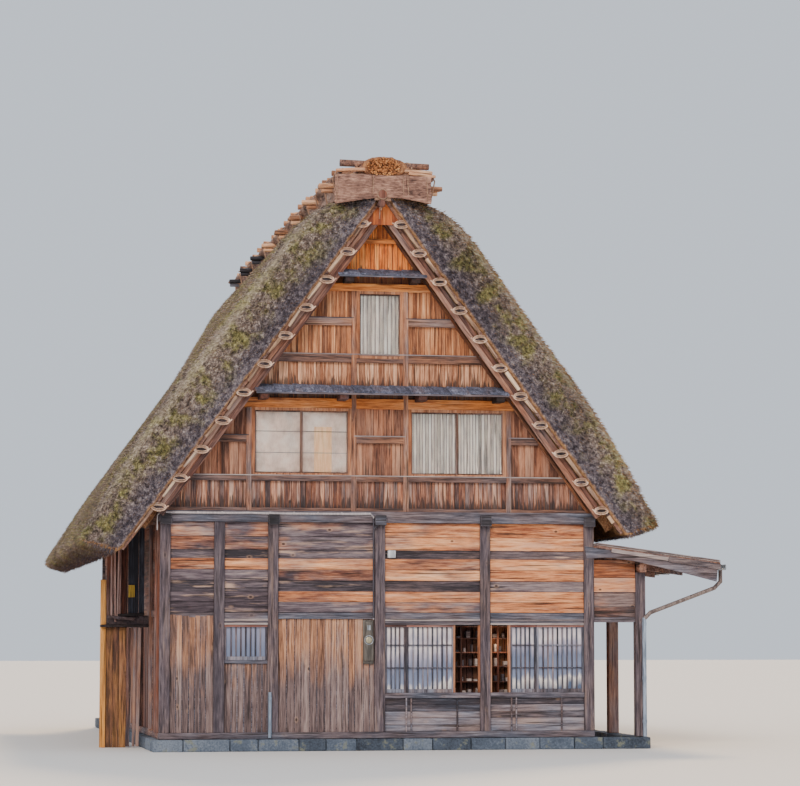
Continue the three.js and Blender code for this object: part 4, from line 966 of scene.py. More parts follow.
OUTER_POST, INNER_POST, SLIM = 2.425, 0.485, 0.045
WINDOW_BOTTOM, WINDOW_TOP = 4.995, 6.24
TOP_WINDOW_BOTTOM, TOP_WINDOW_TOP = 7.17, 8.42
WIDE_WINDOW = (-OUTER_POST + SLIM, -INNER_POST - SLIM)
RIGHT_WINDOW = (INNER_POST + SLIM, OUTER_POST - SLIM)
MIDDLE = (-INNER_POST + SLIM, INNER_POST - SLIM)
BOARDING = {  # the rows' levels, their finish and the boards' usual width
    "foot": ([(4.405, 4.90)], BOARD_GABLE_LOW, 0.085),
    "window": ([(4.995, 5.606), (5.727, 6.24)], BOARD_GABLE_WIDE, 0.17),
    "ledge": ([(6.42, 7.095)], BOARD_GABLE_PALE, 0.085),
    "upper": ([(7.24, 7.78), (7.915, 8.42)], BOARD_GABLE, 0.085),
    "top": ([(8.56, 9.314), (9.398, 9.98)], BOARD_TOP, 0.085),
}


def trim_to_slopes(out):
    """Cuts the boards along both slopes, that far out from the thatch's underside."""
    for side in (-1, 1):
        x, z = on_slope(0, out, side)
        cut_away((x, 0, z), (side * SIN, 0, COS))


def tier_spans(kind, z0):
    """The stretches of boarding between posts and windows in one row of a gable."""
    reach = reach_at(z0, -0.15)
    if kind == "top":
        return [(-reach, reach)]
    post = OUTER_POST if kind in ("foot", "window") else INNER_POST
    spans = [(-reach, -post - SLIM), (post + SLIM, reach)]
    if kind != "upper":
        spans.append(MIDDLE)
    if kind == "foot":
        spans += [WIDE_WINDOW, RIGHT_WINDOW]
    return spans


def gable_boards(name, facing, seed):
    rng = random.Random(seed)
    for kind, (tiers, material, typical) in BOARDING.items():
        piece = start(f"{name}_{kind}_boards")
        for z0, z1 in tiers:
            for x0, x1 in tier_spans(kind, z0):
                upright_boards(x0, x1, z0, z1, rng, typical, facing=facing)
        trim_to_slopes(-0.155)
        bevel(0.004)
        top = kind == "top"
        close(piece, material, "cedar", seed=seed, vary=0.5 if top else 0.8,
              weather=(lambda x, z, tones: 0.45 * (z > 9.5) + 0 * x) if top else None)


def gable_window(node, span, z0, z1, panes, striped, facing):
    """Sliding sashes in a planed frame: glass in front, and paper on thin bars or a blind behind it."""
    side, foot, head, edge = 0.06, 0.045, 0.05, 0.024
    piece = start(node + "_frame")
    rectangle(*span, z0, z1, -0.066, 0.045, side, foot, head, facing)
    close(piece, SASH_WARM, "window", 0.004, 2, seed=61, replaces=(node,))
    left, right, low, high = span[0] + side, span[1] - side, z0 + foot, z1 - head
    width = (right - left) / panes
    piece = start(node + "_sashes")
    for i in range(panes):
        x = left + width * i
        rectangle(x, x + width, low, high, -0.030, 0.002, edge, edge, edge, facing)
    close(piece, SASH_DARK, "window", 0.003, seed=62)
    piece = start(node + "_paper")
    block(left, right, 0.026, 0.030, low, high, facing=facing)
    close(piece, BLIND_SHADE if striped else PAPER, "window", 0.001, seed=63)
    piece = start(node + "_slats")
    if striped:
        pitch = 0.056 if panes > 1 else 0.078
        count = round((right - left) / pitch)
        for i in range(count):
            x = left + (right - left) * (i + 0.5) / count
            block(x - 0.3 * pitch, x + 0.3 * pitch, 0.012, 0.026, low, high, facing=facing)
    else:
        for share in (0.33, 0.67):
            z = low + (high - low) * share
            block(left, right, 0.016, 0.026, z - 0.005, z + 0.005, facing=facing)
    close(piece, SLAT_WHITE if striped else RAIL_SILVER, "window", 0.002, seed=64)
    if not striped:
        # A patch of the paper is painted warm, as lamp light from behind
        piece = start(node + "_warm_leaf")
        lit_left, lit_right, lit_high = left + width * 1.28, left + width * 1.66, low + 0.86
        block(lit_left, lit_right, 0.020, 0.0255, low + 0.02, lit_high, facing=facing)
        close(piece, WARM_PAPER, "window", 0.002, seed=66)
    piece = start(node + "_glass")
    for i in range(panes):
        pane_left, pane_right = left + width * i + 0.02, left + width * (i + 1) - 0.02
        block(pane_left, pane_right, -0.012, -0.008, low + 0.02, high - 0.02, facing=facing)
    close(piece, CLEAR_GLASS, "glass", 0.0005, seed=65)


def gable_windows():
    """Three windows in each gable; from outside, the rear's left one is on its other side."""
    for prefix, facing, sides in (("gable", facing_front, ("left", "right")),
                                  ("rear", facing_back, ("right", "left"))):
        for side, span, striped in ((sides[0], WIDE_WINDOW, False), (sides[1], RIGHT_WINDOW, True)):
            gable_window(f"{prefix}_window_{side}", span, WINDOW_BOTTOM, WINDOW_TOP, 2, striped, facing)
        gable_window(prefix + "_window_top", MIDDLE, TOP_WINDOW_BOTTOM, TOP_WINDOW_TOP, 1, True, facing)


def reed_filling(name, facing):
    """Reed packed between the boards' upper edges and the thatch, under the poles."""
    piece = start(name)
    depth = 0.03
    for side in (-1, 1):
        for out in (-0.135, -0.10, -0.065, -0.03, 0.0):
            x0, z0 = on_slope(-0.1, out, side)
            x1, z1 = on_slope(SLOPE_LENGTH + 0.3, out, side)
            pole((*facing(x0, depth), z0), (*facing(x1, depth), z1), 0.03, 8)
    close(piece, REED_FILL, "thatch", seed=29, smooth=True)


def pent_roof(node, reach, half, edge, rise, thick, facing, seed):
    """Split boards lying down a small pent roof, each lapping the next, on a fascia."""
    rng = random.Random(seed)
    tilt = math.atan(rise)
    count = round(2 * half / 0.365)
    step = 2 * half / count
    deep = reach - 0.06
    middle_y, middle_z = -(reach + 0.06) / 2, edge + rise * deep / 2
    way = 1 if facing is facing_front else -1
    piece = start(node + "_boards")
    for i in range(count):
        lift = thick + 0.006 + rng.uniform(0, 0.008)
        centre = (*facing(-half + step * (i + 0.5), middle_y), middle_z + lift)
        size = (step + 0.02, deep / math.cos(tilt) + rng.uniform(0.0, 0.02), 0.024)
        slab(centre, size, (way * tilt, way * 0.045, 0))
    close(piece, SHINGLE, "shingles", 0.005, seed=seed, vary=0.4)
    worn_copy(node, BEAM_LYING, "shingles", 0.008)


FOOT_RAIL, SILL_RAIL, WINDOW_RAIL = (4.345, 4.405), (4.90, 4.995), (5.606, 5.727)
LEDGE_RAIL, TOP_WINDOW_RAIL = (7.095, 7.24), (7.78, 7.915)
HEADERS = [(6.24, 6.42), (8.42, 8.56), (9.314, 9.398)]
PROUD = 0.003  # how far the worn copies stand out of the construction's pieces
GABLE_FACE = -0.060 - PROUD
PENT_ROOFS = {  # reach, half width, lower edge, rise in one, thickness and the brackets' places
    "middle_pent_roof": (0.5, 2.345, 6.455, 0.364, 0.036, (-2.19, -0.73, 0.73, 2.19)),
    "top_pent_roof": (0.4, 0.82, 8.64, 0.4, 0.032, (-0.62, 0.62)),
}


def rail_spans(rail):
    """A rail's stretches: right across, or broken by the windows."""
    reach = reach_at(sum(rail) / 2, -0.2325)
    if rail == WINDOW_RAIL:
        return [(-reach, -OUTER_POST), (-INNER_POST, INNER_POST), (OUTER_POST, reach)]
    if rail == TOP_WINDOW_RAIL:
        return [(-reach, -INNER_POST), (INNER_POST, reach)]
    return [(-reach, reach)]


def gable_rails(prefix, facing, replaces):
    """The rails and headers between the rows of boards, with pale strips along the rails' upper edges."""
    piece = start(prefix + "_rails")
    for rail in (FOOT_RAIL, SILL_RAIL, WINDOW_RAIL, LEDGE_RAIL, TOP_WINDOW_RAIL):
        for x0, x1 in rail_spans(rail):
            block(x0, x1, GABLE_FACE, 0.0, rail[0] - PROUD, rail[1] + PROUD, facing=facing)
    close(piece, RAIL_WARM, "cedar", 0.006, seed=25, replaces=replaces, vary=0.5)
    piece = start(prefix + "_headers")
    for z0, z1 in HEADERS:
        reach = reach_at((z0 + z1) / 2, -0.2325)
        block(-reach, reach, GABLE_FACE - 0.003, 0.0, z0 - PROUD, z1 + PROUD, facing=facing)
    close(piece, HEADER_WARM, "cedar", 0.006, seed=30, vary=0.3)
    piece = start(prefix + "_rail_tops")
    for rail, depth in ((SILL_RAIL, 0.095), (WINDOW_RAIL, 0), (LEDGE_RAIL, 0.095), (TOP_WINDOW_RAIL, 0)):
        top = rail[1]
        for x0, x1 in rail_spans((top - depth, top) if depth else rail):
            block(x0, x1, GABLE_FACE - 0.006, 0.0, top - 0.004, top + 0.016, facing=facing)
    close(piece, RAIL_SILVER, "cedar", 0.003, seed=31)


def sloping_battens(prefix, facing):
    """Two battens along each slope over the boards' upper edges."""
    piece = start(prefix + "_sloping_battens")
    way = 1 if facing is facing_front else -1
    for side in (-1, 1):
        for inner, outer, front in ((-0.272, -0.222, -0.072), (-0.205, -0.165, -0.066)):
            x, z = on_slope(SLOPE_LENGTH / 2, (inner + outer) / 2, side)
            centre, size = (*facing(x, front / 2), z), (SLOPE_LENGTH, -front, outer - inner)
            slab(centre, size, (0, way * side * PITCH, 0))
    for _ in range(2):  # the second cut doubles the feet's faces, so the bevel leaves their edges sharp
        cut_away((0, 0, GIRT_TOP), (0, 0, -1))
    close(piece, BATTEN_WARM, "cedar", 0.005, seed=27)


def gable_frame(prefix, facing, replaces):
    """Rails, posts, sloping battens and the pent roofs' brackets on one gable."""
    gable_rails(prefix, facing, replaces)
    piece = start(prefix + "_posts")
    half = SLIM + PROUD
    for x, top in ((-OUTER_POST, WINDOW_TOP), (OUTER_POST, WINDOW_TOP),
                   (-INNER_POST, TOP_WINDOW_TOP), (INNER_POST, TOP_WINDOW_TOP)):
        block(x - half, x + half, GABLE_FACE - 0.004, 0.0, GIRT_TOP, top, facing=facing)
    close(piece, STILE_WARM, "cedar", 0.006, seed=26, vary=0.3)
    sloping_battens(prefix, facing)
    piece = start(prefix + "_brackets")
    half = 0.08
    for (reach, _, edge, _, _, places), depth in zip(PENT_ROOFS.values(), (0.085, 0.09)):
        for x in places:
            block(x - half, x + half, 0.02 - reach, -0.058, edge - depth, edge + 0.006, facing=facing)
    close(piece, BRACKET_RED, "dark_timber", 0.008, seed=28)


def apex_board(name, facing):
    """The reddened boards that close the apex over the tops of the verge planks."""
    piece = start(name)
    half, front, back, bottom, top = 0.088, -0.352, -0.338, 9.62, 10.15
    for x in (-0.27, -0.09, 0.09, 0.27):
        block(x - half, x + half, front, back, bottom, top, facing=facing)
    trim_to_slopes(-0.03)
    close(piece, BOARD_TOP, "cedar", 0.003, seed=32, weather=evenly(0.9))


def gables():
    gable_boards("gable", facing_front, 21)
    gable_boards("rear_gable", facing_back, 24)
    gable_frame("gable", facing_front, ("gable_frame",))
    gable_frame("rear_gable", facing_back, ())
    apex_board("gable_apex_board", facing_front)
    apex_board("rear_gable_apex_board", facing_back)
    paint(["gable_boards", "rear_gable_wall"], BOARD_GABLE)
    reed_filling("gable_reed_filling", facing_front)
    reed_filling("rear_gable_reed_filling", facing_back)
    gable_windows()
    for prefix, facing in (("", facing_front), ("rear_", facing_back)):
        for seed, (name, (*sizes, _)) in enumerate(PENT_ROOFS.items(), 71):
            pent_roof(prefix + name, *sizes, facing, seed)


# Lattice screens

STILE, LEAF_FOOT, BAR, BAR_PITCH, CROSS_BAR = 0.042, 0.067, 0.028, 0.088, 0.02
OPEN_LEFT, OPEN_RIGHT = 1.39, 2.441  # the room shows between these
SCREEN_LEAVES = {
    "lattice_window_small": [BAYS[1]],
    "lattice_screen_left": [(HALF_POST, 0.496), (0.496, OPEN_LEFT)],
    "lattice_screen_right": [(OPEN_RIGHT, 2.941), (2.941, HALF_WIDTH - HALF_POST)],
}


def lattice_leaf(x0, x1, z0, z1, cross_heights):
    """One sliding leaf: stiles and rails, upright bars between them, and thin cross bars."""
    gap = 0.002
    left, right = x0 + STILE, x1 - STILE
    for a, b in ((x0 + gap, left), (right, x1 - gap)):
        block(a, b, -0.045, 0.0, z0, z1)
    for a, b in ((z0, z0 + LEAF_FOOT), (z1 - STILE, z1)):
        block(left, right, -0.045, 0.0, a, b)
    count = round((x1 - x0 - 2 * STILE) / BAR_PITCH)
    for i in range(1, count):
        x = left + i * (x1 - x0 - 2 * STILE) / count
        block(x - BAR / 2, x + BAR / 2, -0.036, -0.008, z0 + LEAF_FOOT, z1 - STILE)
    for z in cross_heights:
        block(left, right, -0.040, -0.006, z, z + CROSS_BAR)


def lattices():
    for node, spans in SCREEN_LEAVES.items():
        small = node == "lattice_window_small"
        z0 = SMALL_WINDOW_BOTTOM if small else LEDGE_TOP
        piece = start(node + "_bars")
        for x0, x1 in spans:
            lattice_leaf(x0, x1, z0, LINTEL_BOTTOM, () if small else (1.482, 1.898))
        close(piece, LATTICE_WOOD, "lattice", 0.003, seed=81, replaces=(node,))
        piece = start(node + "_top_rail")
        for x0, x1 in spans:
            block(x0 + 0.003, x1 - 0.003, -0.052, -0.01, LINTEL_BOTTOM - 0.036, LINTEL_BOTTOM)
        close(piece, SASH_RED, "lattice", 0.003, seed=84)
        piece = start(node + "_panes")
        rebate = 0.01
        for x0, x1 in spans:
            block(x0 + rebate, x1 - rebate, -0.004, 0.006, z0 + rebate, LINTEL_BOTTOM - rebate)
        close(piece, SKY_GLASS, "glass", 0.001, seed=82)


# Footing

FOOT_OUT, FOOT_IN, KERB = 0.22, 0.2, 0.15
STONE_LENGTH, STONE_GAP = 0.62, 0.006


def stone_run(x0, x1, y0, y1, rng, along_x=True):
    """A course of split stones of uneven length, from end to end of a run."""
    place, end = (x0, x1) if along_x else (y0, y1)
    for length in widths(end - place, STONE_LENGTH, rng):
        top = FOOTING_TOP - 0.004 - rng.uniform(0, 0.004)
        a, b = place + STONE_GAP, place + length - STONE_GAP
        if along_x:
            block(a, b, y0 + rng.uniform(0, 0.02), y1, 0, top)
        else:
            block(x0, x1, a, b, 0, top)
        place += length


def footing():
    rng = random.Random(8)
    piece = start("footing_stones")
    left, right = -HALF_WIDTH - FOOT_OUT, HALF_WIDTH + FOOT_OUT
    front, back = -FOOT_OUT, LENGTH + FOOT_OUT
    stone_run(left, right, front, FOOT_IN, rng)
    stone_run(left, right, LENGTH - FOOT_IN, back, rng)
    stone_run(left, -HALF_WIDTH + FOOT_IN, FOOT_IN, LENGTH - FOOT_IN, rng, False)
    stone_run(HALF_WIDTH - FOOT_IN, right, FOOT_IN, LENGTH - FOOT_IN, rng, False)
    stone_run(VERANDA_X - KERB, VERANDA_X + KERB, front + KERB, back - KERB, rng, False)
    stone_run(right, VERANDA_X + KERB, front, front + KERB, rng)
    stone_run(right, VERANDA_X + KERB, back - KERB, back, rng)
    bpy.ops.mesh.select_all(action="SELECT")
    bpy.ops.mesh.subdivide(number_cuts=4)
    bpy.ops.object.mode_set(mode="OBJECT")
    apply_modifier(piece, "BEVEL", width=0.018, segments=2, limit_method="ANGLE")
    roughen(piece, 0.16, 0.012)
    close(piece, STONE, "footing", seed=83, replaces=("stone_footing",))


# Roof

# Straw ends are drawn 20 mm thick, four times as thick as real ones, so that they show
STRAW_LENGTH, STRAW_RADIUS, STRAWS_PER_SQUARE_METRE = 0.085, 0.010, 520.0
STRAW_SWAY = 0.55
COAT_SKIN = 0.06  # straw ends grow on what lies further out from the boards than this
UNDER_CAP = 10.15  # and below the ridge cap


def thatch_coat(node, side, seed):
    """The thatch with its lumps, and short straw ends standing out of its faces."""
    piece = merged_copy(node, node + "_coat")
    apply_modifier(piece, "REMESH", mode="VOXEL", voxel_size=0.065, use_smooth_shade=True)
    roughen(piece, 0.10, 0.06)
    mesh = piece.data
    places = points_of(mesh)
    out = (places - [0, 0, APEX]) @ np.array([side * SIN, 0.0, COS])
    normals = np.empty(len(mesh.vertices) * 3)
    mesh.vertices.foreach_get("normal", normals)
    normals = normals.reshape(-1, 3)
    ends = np.clip(np.abs(normals[:, 1]) * 1.3, 0, 1) + np.clip(-normals[:, 2], 0, 1)
    store(mesh, "straw", np.where(out > COAT_SKIN, 0.28 + ends, 0.0) * (places[:, 2] < UNDER_CAP))
    material = thatch_material(node + "_straw", side)
    straw_piece(piece, node + "_ends", material, side, seed)
    close(piece, material, "thatch", seed=seed, replaces=(node,))
    piece.select_set(True)
    bpy.ops.object.shade_smooth()
    piece.select_set(False)


def straw_piece(coat, name, material, side, seed):
    """Straw ends grown from a coat of thatch, thick at the verges and eave and thin on the slope."""
    tree = bpy.data.node_groups.new(name, "GeometryNodeTree")
    for way in ("INPUT", "OUTPUT"):
        tree.interface.new_socket("Geometry", in_out=way, socket_type="NodeSocketGeometry")
    source = add(tree, "GeometryNodeObjectInfo", {"Object": coat}, out="Geometry")
    amount = add(tree, "GeometryNodeInputNamedAttribute", {"Name": "straw"}, data_type="FLOAT")
    density = add(tree, "Math", [amount, STRAWS_PER_SQUARE_METRE], operation="MULTIPLY")
    spots = add(tree, "GeometryNodeDistributePointsOnFaces",
                {"Mesh": source, "Density": density, "Seed": seed})
    stray = add(tree, "FunctionNodeRandomValue", {0: [-STRAW_SWAY] * 3, 1: [STRAW_SWAY] * 3, "Seed": seed},
                data_type="FLOAT_VECTOR")
    down_slope = (side * COS * 1.2, 0, -SIN * 1.2)
    lean = add(tree, "VectorMath", [stray, down_slope], operation="ADD")
    way = add(tree, "VectorMath", [lean, spots.node.outputs["Normal"]], operation="ADD")
    turn = add(tree, "FunctionNodeAlignRotationToVector", {"Vector": way}, axis="Z")
    stalk = add(tree, "GeometryNodeMeshCone",
                {"Vertices": 3, "Radius Top": 0.0, "Radius Bottom": STRAW_RADIUS, "Depth": STRAW_LENGTH})
    length = add(tree, "FunctionNodeRandomValue", {2: 0.45, 3: 1.0, "Seed": seed + 1})
    tufts = add(tree, "GeometryNodeInstanceOnPoints",
                {"Points": spots, "Instance": stalk, "Rotation": turn, "Scale": length})
    real = add(tree, "GeometryNodeRealizeInstances", [tufts])
    output = tree.nodes.new("NodeGroupOutput")
    tree.links.new(real, output.inputs[0])
    piece = start(name)
    bpy.ops.object.mode_set(mode="OBJECT")
    apply_modifier(piece, "NODES", node_group=tree)
    close(piece, material, "thatch", seed=seed)


def rope_tie():
    """Straw rope wound flat round the end of a purlin, with the turns drawn tight at the outer side."""
    piece = start("tie")
    for lift, reach, lean in ((-0.018, 1.0, 0.05), (0.006, 0.94, -0.03), (-0.034, 0.9, 0.08)):
        loop((0.0, -0.055, lift), (math.pi / 2, lean, 0), 0.135, 0.0125, 18, stretch=(reach, 1, 0.40))
    loop((0.155, -0.05, 0.015), (math.pi / 2, 0.3, 0), 0.06, 0.011, 12, stretch=(0.9, 1, 0.6))
    pole((-0.13, -0.06, -0.02), (-0.175, -0.065, 0.02), 0.011, 6)
    bpy.ops.object.mode_set(mode="OBJECT")
    return piece


def purlin_end(down, side):
    """Where a purlin's end and its tie stand; the first pair is moved out, clear of the log ends."""
    x, z = on_slope(down, PURLIN_OUT, side)
    if down == PURLINS[0]:
        x += -0.12 if side < 0 else 0.05
    return x, z


def verge_poles():
    """The pale poles down each verge in broken lengths, between the purlins."""
    rng = random.Random(43)
    piece = start("verge_poles")
    for side, foot in ((-1, 8.06), (1, 7.63)):
        stops = PURLINS + [foot]
        for y in (VERGE_POLE_Y, LENGTH - VERGE_POLE_Y):
            for first, last in zip(stops, stops[1:]):
                a, b = first + rng.uniform(0.05, 0.11), last - rng.uniform(0.05, 0.13)
                for out, radius in ((-0.036, rng.uniform(0.036, 0.046)), (0.018, rng.uniform(0.018, 0.03))):
                    x0, z0 = on_slope(a + rng.uniform(0, 0.08), out + rng.uniform(-0.014, 0.012), side)
                    x1, z1 = on_slope(b - rng.uniform(0, 0.12), out + rng.uniform(-0.014, 0.012), side)
                    pole((x0, y, z0), (x1, y, z1), radius, 10, radius * rng.uniform(0.75, 1.0))
    close(piece, POLE_LIGHT, "poles", seed=90, smooth=True)


def purlin_ends():
    """Two round ends side by side in every tie, near black, partly as painted shade in the hollow of the
    rope's turns.
    """
    piece = start("purlin_ends")
    front, back, radius, drop = 0.415, 0.36, 0.042, 0.012
    for side in (-1, 1):
        for down in PURLINS:
            x, z = purlin_end(down, side)
            for y0, y1 in ((-front, -back), (LENGTH + back, LENGTH + front)):
                for shift in (-0.035, 0.035):
                    pole((x + shift, y0, z - drop), (x + shift, y1, z - drop), radius, 12)
    close(piece, BRACKET_DARK, "poles", seed=89, smooth=True)


def verge_planks():
    """Two planks nailed under the purlins' ends, down each verge."""
    piece = start("verge_planks")
    front, thick = 0.318, 0.034
    for side in (-1, 1):
        for out, wide, back in ((-0.215, 0.10, 0.0), (-0.118, 0.085, 0.022)):
            x, z = on_slope(SLOPE_LENGTH / 2 - 0.05, out, side)
            for y in (-front + back, LENGTH + front - back):
                slab((x, y, z), (SLOPE_LENGTH, thick, wide), (0, side * PITCH, 0))
    close(piece, PLANK_VERGE, "cedar", 0.006, seed=88)


def ties_and_poles():
    """The rope ties, copied to every purlin's end, with the roof frame and the verges' poles."""
    places = []
    for side in (-1, 1):
        turn = Matrix.Rotation(-side * math.radians(3), 4, "Y")
        mirror = Matrix.Scale(side, 4, (1, 0, 0))
        for down in PURLINS:
            x, z = purlin_end(down, side)
            for end in (0, 1):
                half_turn = Matrix.Rotation(math.pi * end, 4, "Z")
                y = LENGTH - VERGE_POLE_Y if end else VERGE_POLE_Y
                places.append(Matrix.Translation((x, y, z)) @ turn @ mirror @ half_turn)
    piece = copies(rope_tie(), "roof_ties", places)
    bpy.ops.object.mode_set(mode="EDIT")
    bpy.ops.mesh.select_all(action="SELECT")
    bpy.ops.mesh.normals_make_consistent(inside=False)
    close(piece, ROPE, "poles", seed=91, smooth=True)
    for node in ("roof_frame_left", "roof_frame_right"):
        worn_copy(node, POLE_WOOD, "poles", 0.02)
    worn_copy("ridge_pole", POLE_WOOD, "poles", 0.012)
    verge_poles()
    purlin_ends()
    verge_planks()


def ridge_apron(end, way):
    """Strips of bark over one end of the ridge: level above, and hung in an arch below."""
    rng = random.Random(61)
    rows = [(left, right, z, 0.0) for z in (10.185, 10.26, 10.335, 10.41, 10.465)
            for left, right in ((-0.93, -0.24), (-0.24, 0.40), (0.40, 0.87))]
    rows += [(-0.94, -0.17, z, 0.178) for z in (10.065, 10.13, 10.20)]
    rows += [(0.31, 0.88, z, -0.19) for z in (10.085, 10.15, 10.215)]
    rows += [(-0.24, 0.36, 10.135, 0.0)]
    gap, half_thick, half_high = 0.004, 0.02, 0.042
    for left, right, z, rise in rows:
        y = end + way * rng.uniform(0.006, 0.024)
        lean = rise + rng.uniform(-0.02, 0.02)
        block(left + gap, right - gap, y - half_thick, y + half_thick, z - half_high, z + half_high,
              (0, -lean, 0))


def ridge_mats():
    """The bark mats over the ridge, lumpy and with torn edges."""
    piece = merged_copy("ridge_cap", "ridge_bark_mats")
    apply_modifier(piece, "REMESH", mode="VOXEL", voxel_size=0.055, use_smooth_shade=True)
    roughen(piece, 0.30, 0.03)
    roughen(piece, 0.07, 0.035)
    close(piece, BARK, "ridge_reed", seed=92, smooth=True, replaces=("ridge_cap",))
    piece = start("ridge_apron_strips")
    ridge_apron(RIDGE_FRONT, -1)
    ridge_apron(RIDGE_BACK, 1)
    close(piece, BARK_STRIP, "ridge_reed", 0.006, seed=99)


def ridge_roll(rng):
    """The flattened bundle of reed along the top, and the stalks' ends that fill its two faces."""
    piece = start("ridge_reed_roll")
    pole((0, RIDGE_FRONT, ROLL_Z), (0, RIDGE_BACK, ROLL_Z), ROLL_HALF, 24)
    bpy.ops.mesh.select_all(action="SELECT")
    bpy.ops.transform.resize(value=(1, 1, ROLL_HIGH / ROLL_HALF), center_override=(0, 0, ROLL_Z))
    bpy.ops.object.mode_set(mode="OBJECT")
    apply_modifier(piece, "REMESH", mode="VOXEL", voxel_size=0.05, use_smooth_shade=True)
    roughen(piece, 0.12, 0.05)
    close(piece, BUNDLE, "ridge_reed", seed=93, smooth=True, replaces=("ridge_bundle",))
    piece = start("ridge_reed_roll_ends")
    reach_x, reach_z, middle = 0.31, 0.168, -0.02
    stalks, out, deep = 230, 0.03, 0.1
    ends = (RIDGE_FRONT - out, RIDGE_FRONT + deep, 1), (RIDGE_BACK - deep, RIDGE_BACK + out, -1)
    for y0, y1, way in ends:
        for _ in range(stalks):
            turn, share = rng.uniform(0, 2 * math.pi), math.sqrt(rng.random())
            x, z = reach_x * share * math.cos(turn) + middle, ROLL_Z + reach_z * share * math.sin(turn)
            push = way * rng.uniform(-0.03, 0.0)
            pole((x, y0 + push, z), (x, y1 + push, z), rng.uniform(0.013, 0.021), 6)
    close(piece, REED_ENDS, "ridge_reed", seed=94)


def stub_pair(i, rng):
    """The stubs of the poles laid through the ridge on one post line, out at both sides."""
    for side in (-1, 1):
        for shift, z, tip in ((-0.055, 10.365, 1.16), (0.05, 10.36, 1.13), (0.0, 10.285, 1.10)):
            y = i * BAY + shift
            end = side * (tip + rng.uniform(-0.04, 0.02))
            pole((side * 0.74, y, z + 0.01), (end, y, z), 0.054, 10, 0.046)


def ridge_poles(rng):
    """The poles across the ridge, those along its sides, and the stubs under the mats."""
    piece = start("ridge_cross_poles")
    for y in CROSS_POLES:
        inner = y not in OUTER_POLES
        thick = rng.uniform(0.050, 0.058) if inner else 0.066
        left, right = -0.84 + rng.uniform(0, 0.05), 0.84 - rng.uniform(0, 0.05)
        lean = rng.uniform(-0.02, 0.02)
        if inner:
            z = TIE_Z + 0.015
            pole((left, y, z + lean), (right, y, z - lean), thick, 12, thick * 0.9)
        for side in (-1, 1):
            pole((side * 0.36, y - 0.05, 10.625), (side * 0.90, y - 0.05, 10.585), 0.042, 10, 0.034)
    pole((0.45, RIDGE_FRONT - 0.01, 10.56), (0.95, RIDGE_FRONT - 0.01, 10.51), 0.030, 10)
    close(piece, POLE_LIT, "poles", 0.006, seed=95, smooth=True)
    piece = start("ridge_side_poles")
    for x, z in ((-0.43, 10.655), (0.43, 10.655), (-0.78, 10.60), (0.78, 10.60)):
        pole((x, RIDGE_FRONT + 0.02, z), (x, RIDGE_BACK - 0.02, z), 0.032, 10)
    for y in OUTER_POLES:
        pole((-0.82, y, TIE_Z + 0.03), (0.84, y, TIE_Z), 0.066, 12, 0.058)
    close(piece, POLE_WOOD, "poles", seed=87, smooth=True)
    piece = start("ridge_pole_stubs")
    for i in range(5):
        stub_pair(i, rng)
    close(piece, POLE_LIT, "poles", 0.008, seed=86, smooth=True)
    piece = start("ridge_pole_stubs_dark")
    for i in range(5, 8):
        stub_pair(i, rng)
    close(piece, BEAM_DARK, "poles", 0.008, seed=85, smooth=True, weather=evenly(0.35))


def ridge_ropes():
    """Three turns of rope round each cross pole's ends, and ropes down the mats and their ends."""
    piece = start("ridge_ropes")
    for y in CROSS_POLES:
        for side in (-1, 1):
            for shift in (-0.04, 0.0, 0.04):
                loop((side * 0.43, y + shift, 10.675), (math.pi / 2, 0, 0), 0.085, 0.016)
            top, knee, foot = (side * 0.86, y, 10.62), (side * 0.955, y, 10.44), (side * 0.885, y, 10.10)
            pole(top, knee, 0.013, 6)
            pole(knee, foot, 0.013, 6)
    for end in (RIDGE_FRONT - 0.035, RIDGE_BACK + 0.035):
        for x, low in ((-0.90, 10.00), (-0.22, 10.14), (0.35, 10.14), (0.44, 10.14), (0.80, 10.04)):
            pole((x, end, low), (x * 0.98, end, 10.50), 0.011, 6)
    close(piece, ROPE_OLD, "ridge_reed", seed=96, smooth=True)


def apex_logs():
    """Two logs that end under the mats, and the rope that ties them and hangs down in front."""
    log_x, log_z = -0.05, 10.15
    piece = start("apex_ropes")
    for y, way in ((RIDGE_FRONT - 0.02, -1), (RIDGE_BACK + 0.02, 1)):
        for z in (10.055, 10.075):
            pole((-0.19, y, z), (0.11, y, z - 0.008), 0.016, 8)
        pole((-0.08, y, 10.06), (-0.10, y, 9.70), 0.010, 6)
        pole((-0.02, y, 10.06), (-0.07, y, 9.86), 0.010, 6)
        loop((log_x, y + way * 0.04, log_z), (math.pi / 2, 0, 0), 0.086, 0.013, 20)
    close(piece, ROPE_OLD, "poles", seed=98, smooth=True)
    piece = start("ridge_log_ends")
    pole((log_x, RIDGE_FRONT - 0.07, log_z), (log_x, -0.40, log_z), 0.092, 16)
    pole((-0.06, RIDGE_FRONT - 0.05, 9.985), (-0.06, -0.40, 9.985), 0.07, 14)
    pole((log_x, LENGTH + 0.40, log_z), (log_x, RIDGE_BACK + 0.07, log_z), 0.092, 16)
    pole((-0.06, LENGTH + 0.40, 9.985), (-0.06, RIDGE_BACK + 0.05, 9.985), 0.07, 14)
    close(piece, PLANK_OLD, "poles", 0.012, 2, seed=97, smooth=True, weather=evenly(-0.3))


def ridge():
    """Bark mats over the ridge, tied down with poles, and a long bundle of reed along the top."""
    rng = random.Random(17)
    ridge_mats()
    ridge_roll(rng)
    ridge_poles(rng)
    ridge_ropes()
    apex_logs()


# Lean-to and veranda

LEANTO_START, LEANTO_END, LEANTO_TOP, LEANTO_FALL, LEANTO_OVER = 4.035, 6.40, 3.745, 0.13, 0.36
VERANDA_ROWS = [(2.42, 2.615, 0.016), (2.62, 2.88, 0.010), (2.89, 3.15, 0.018), (3.16, 3.48, 0.012)]


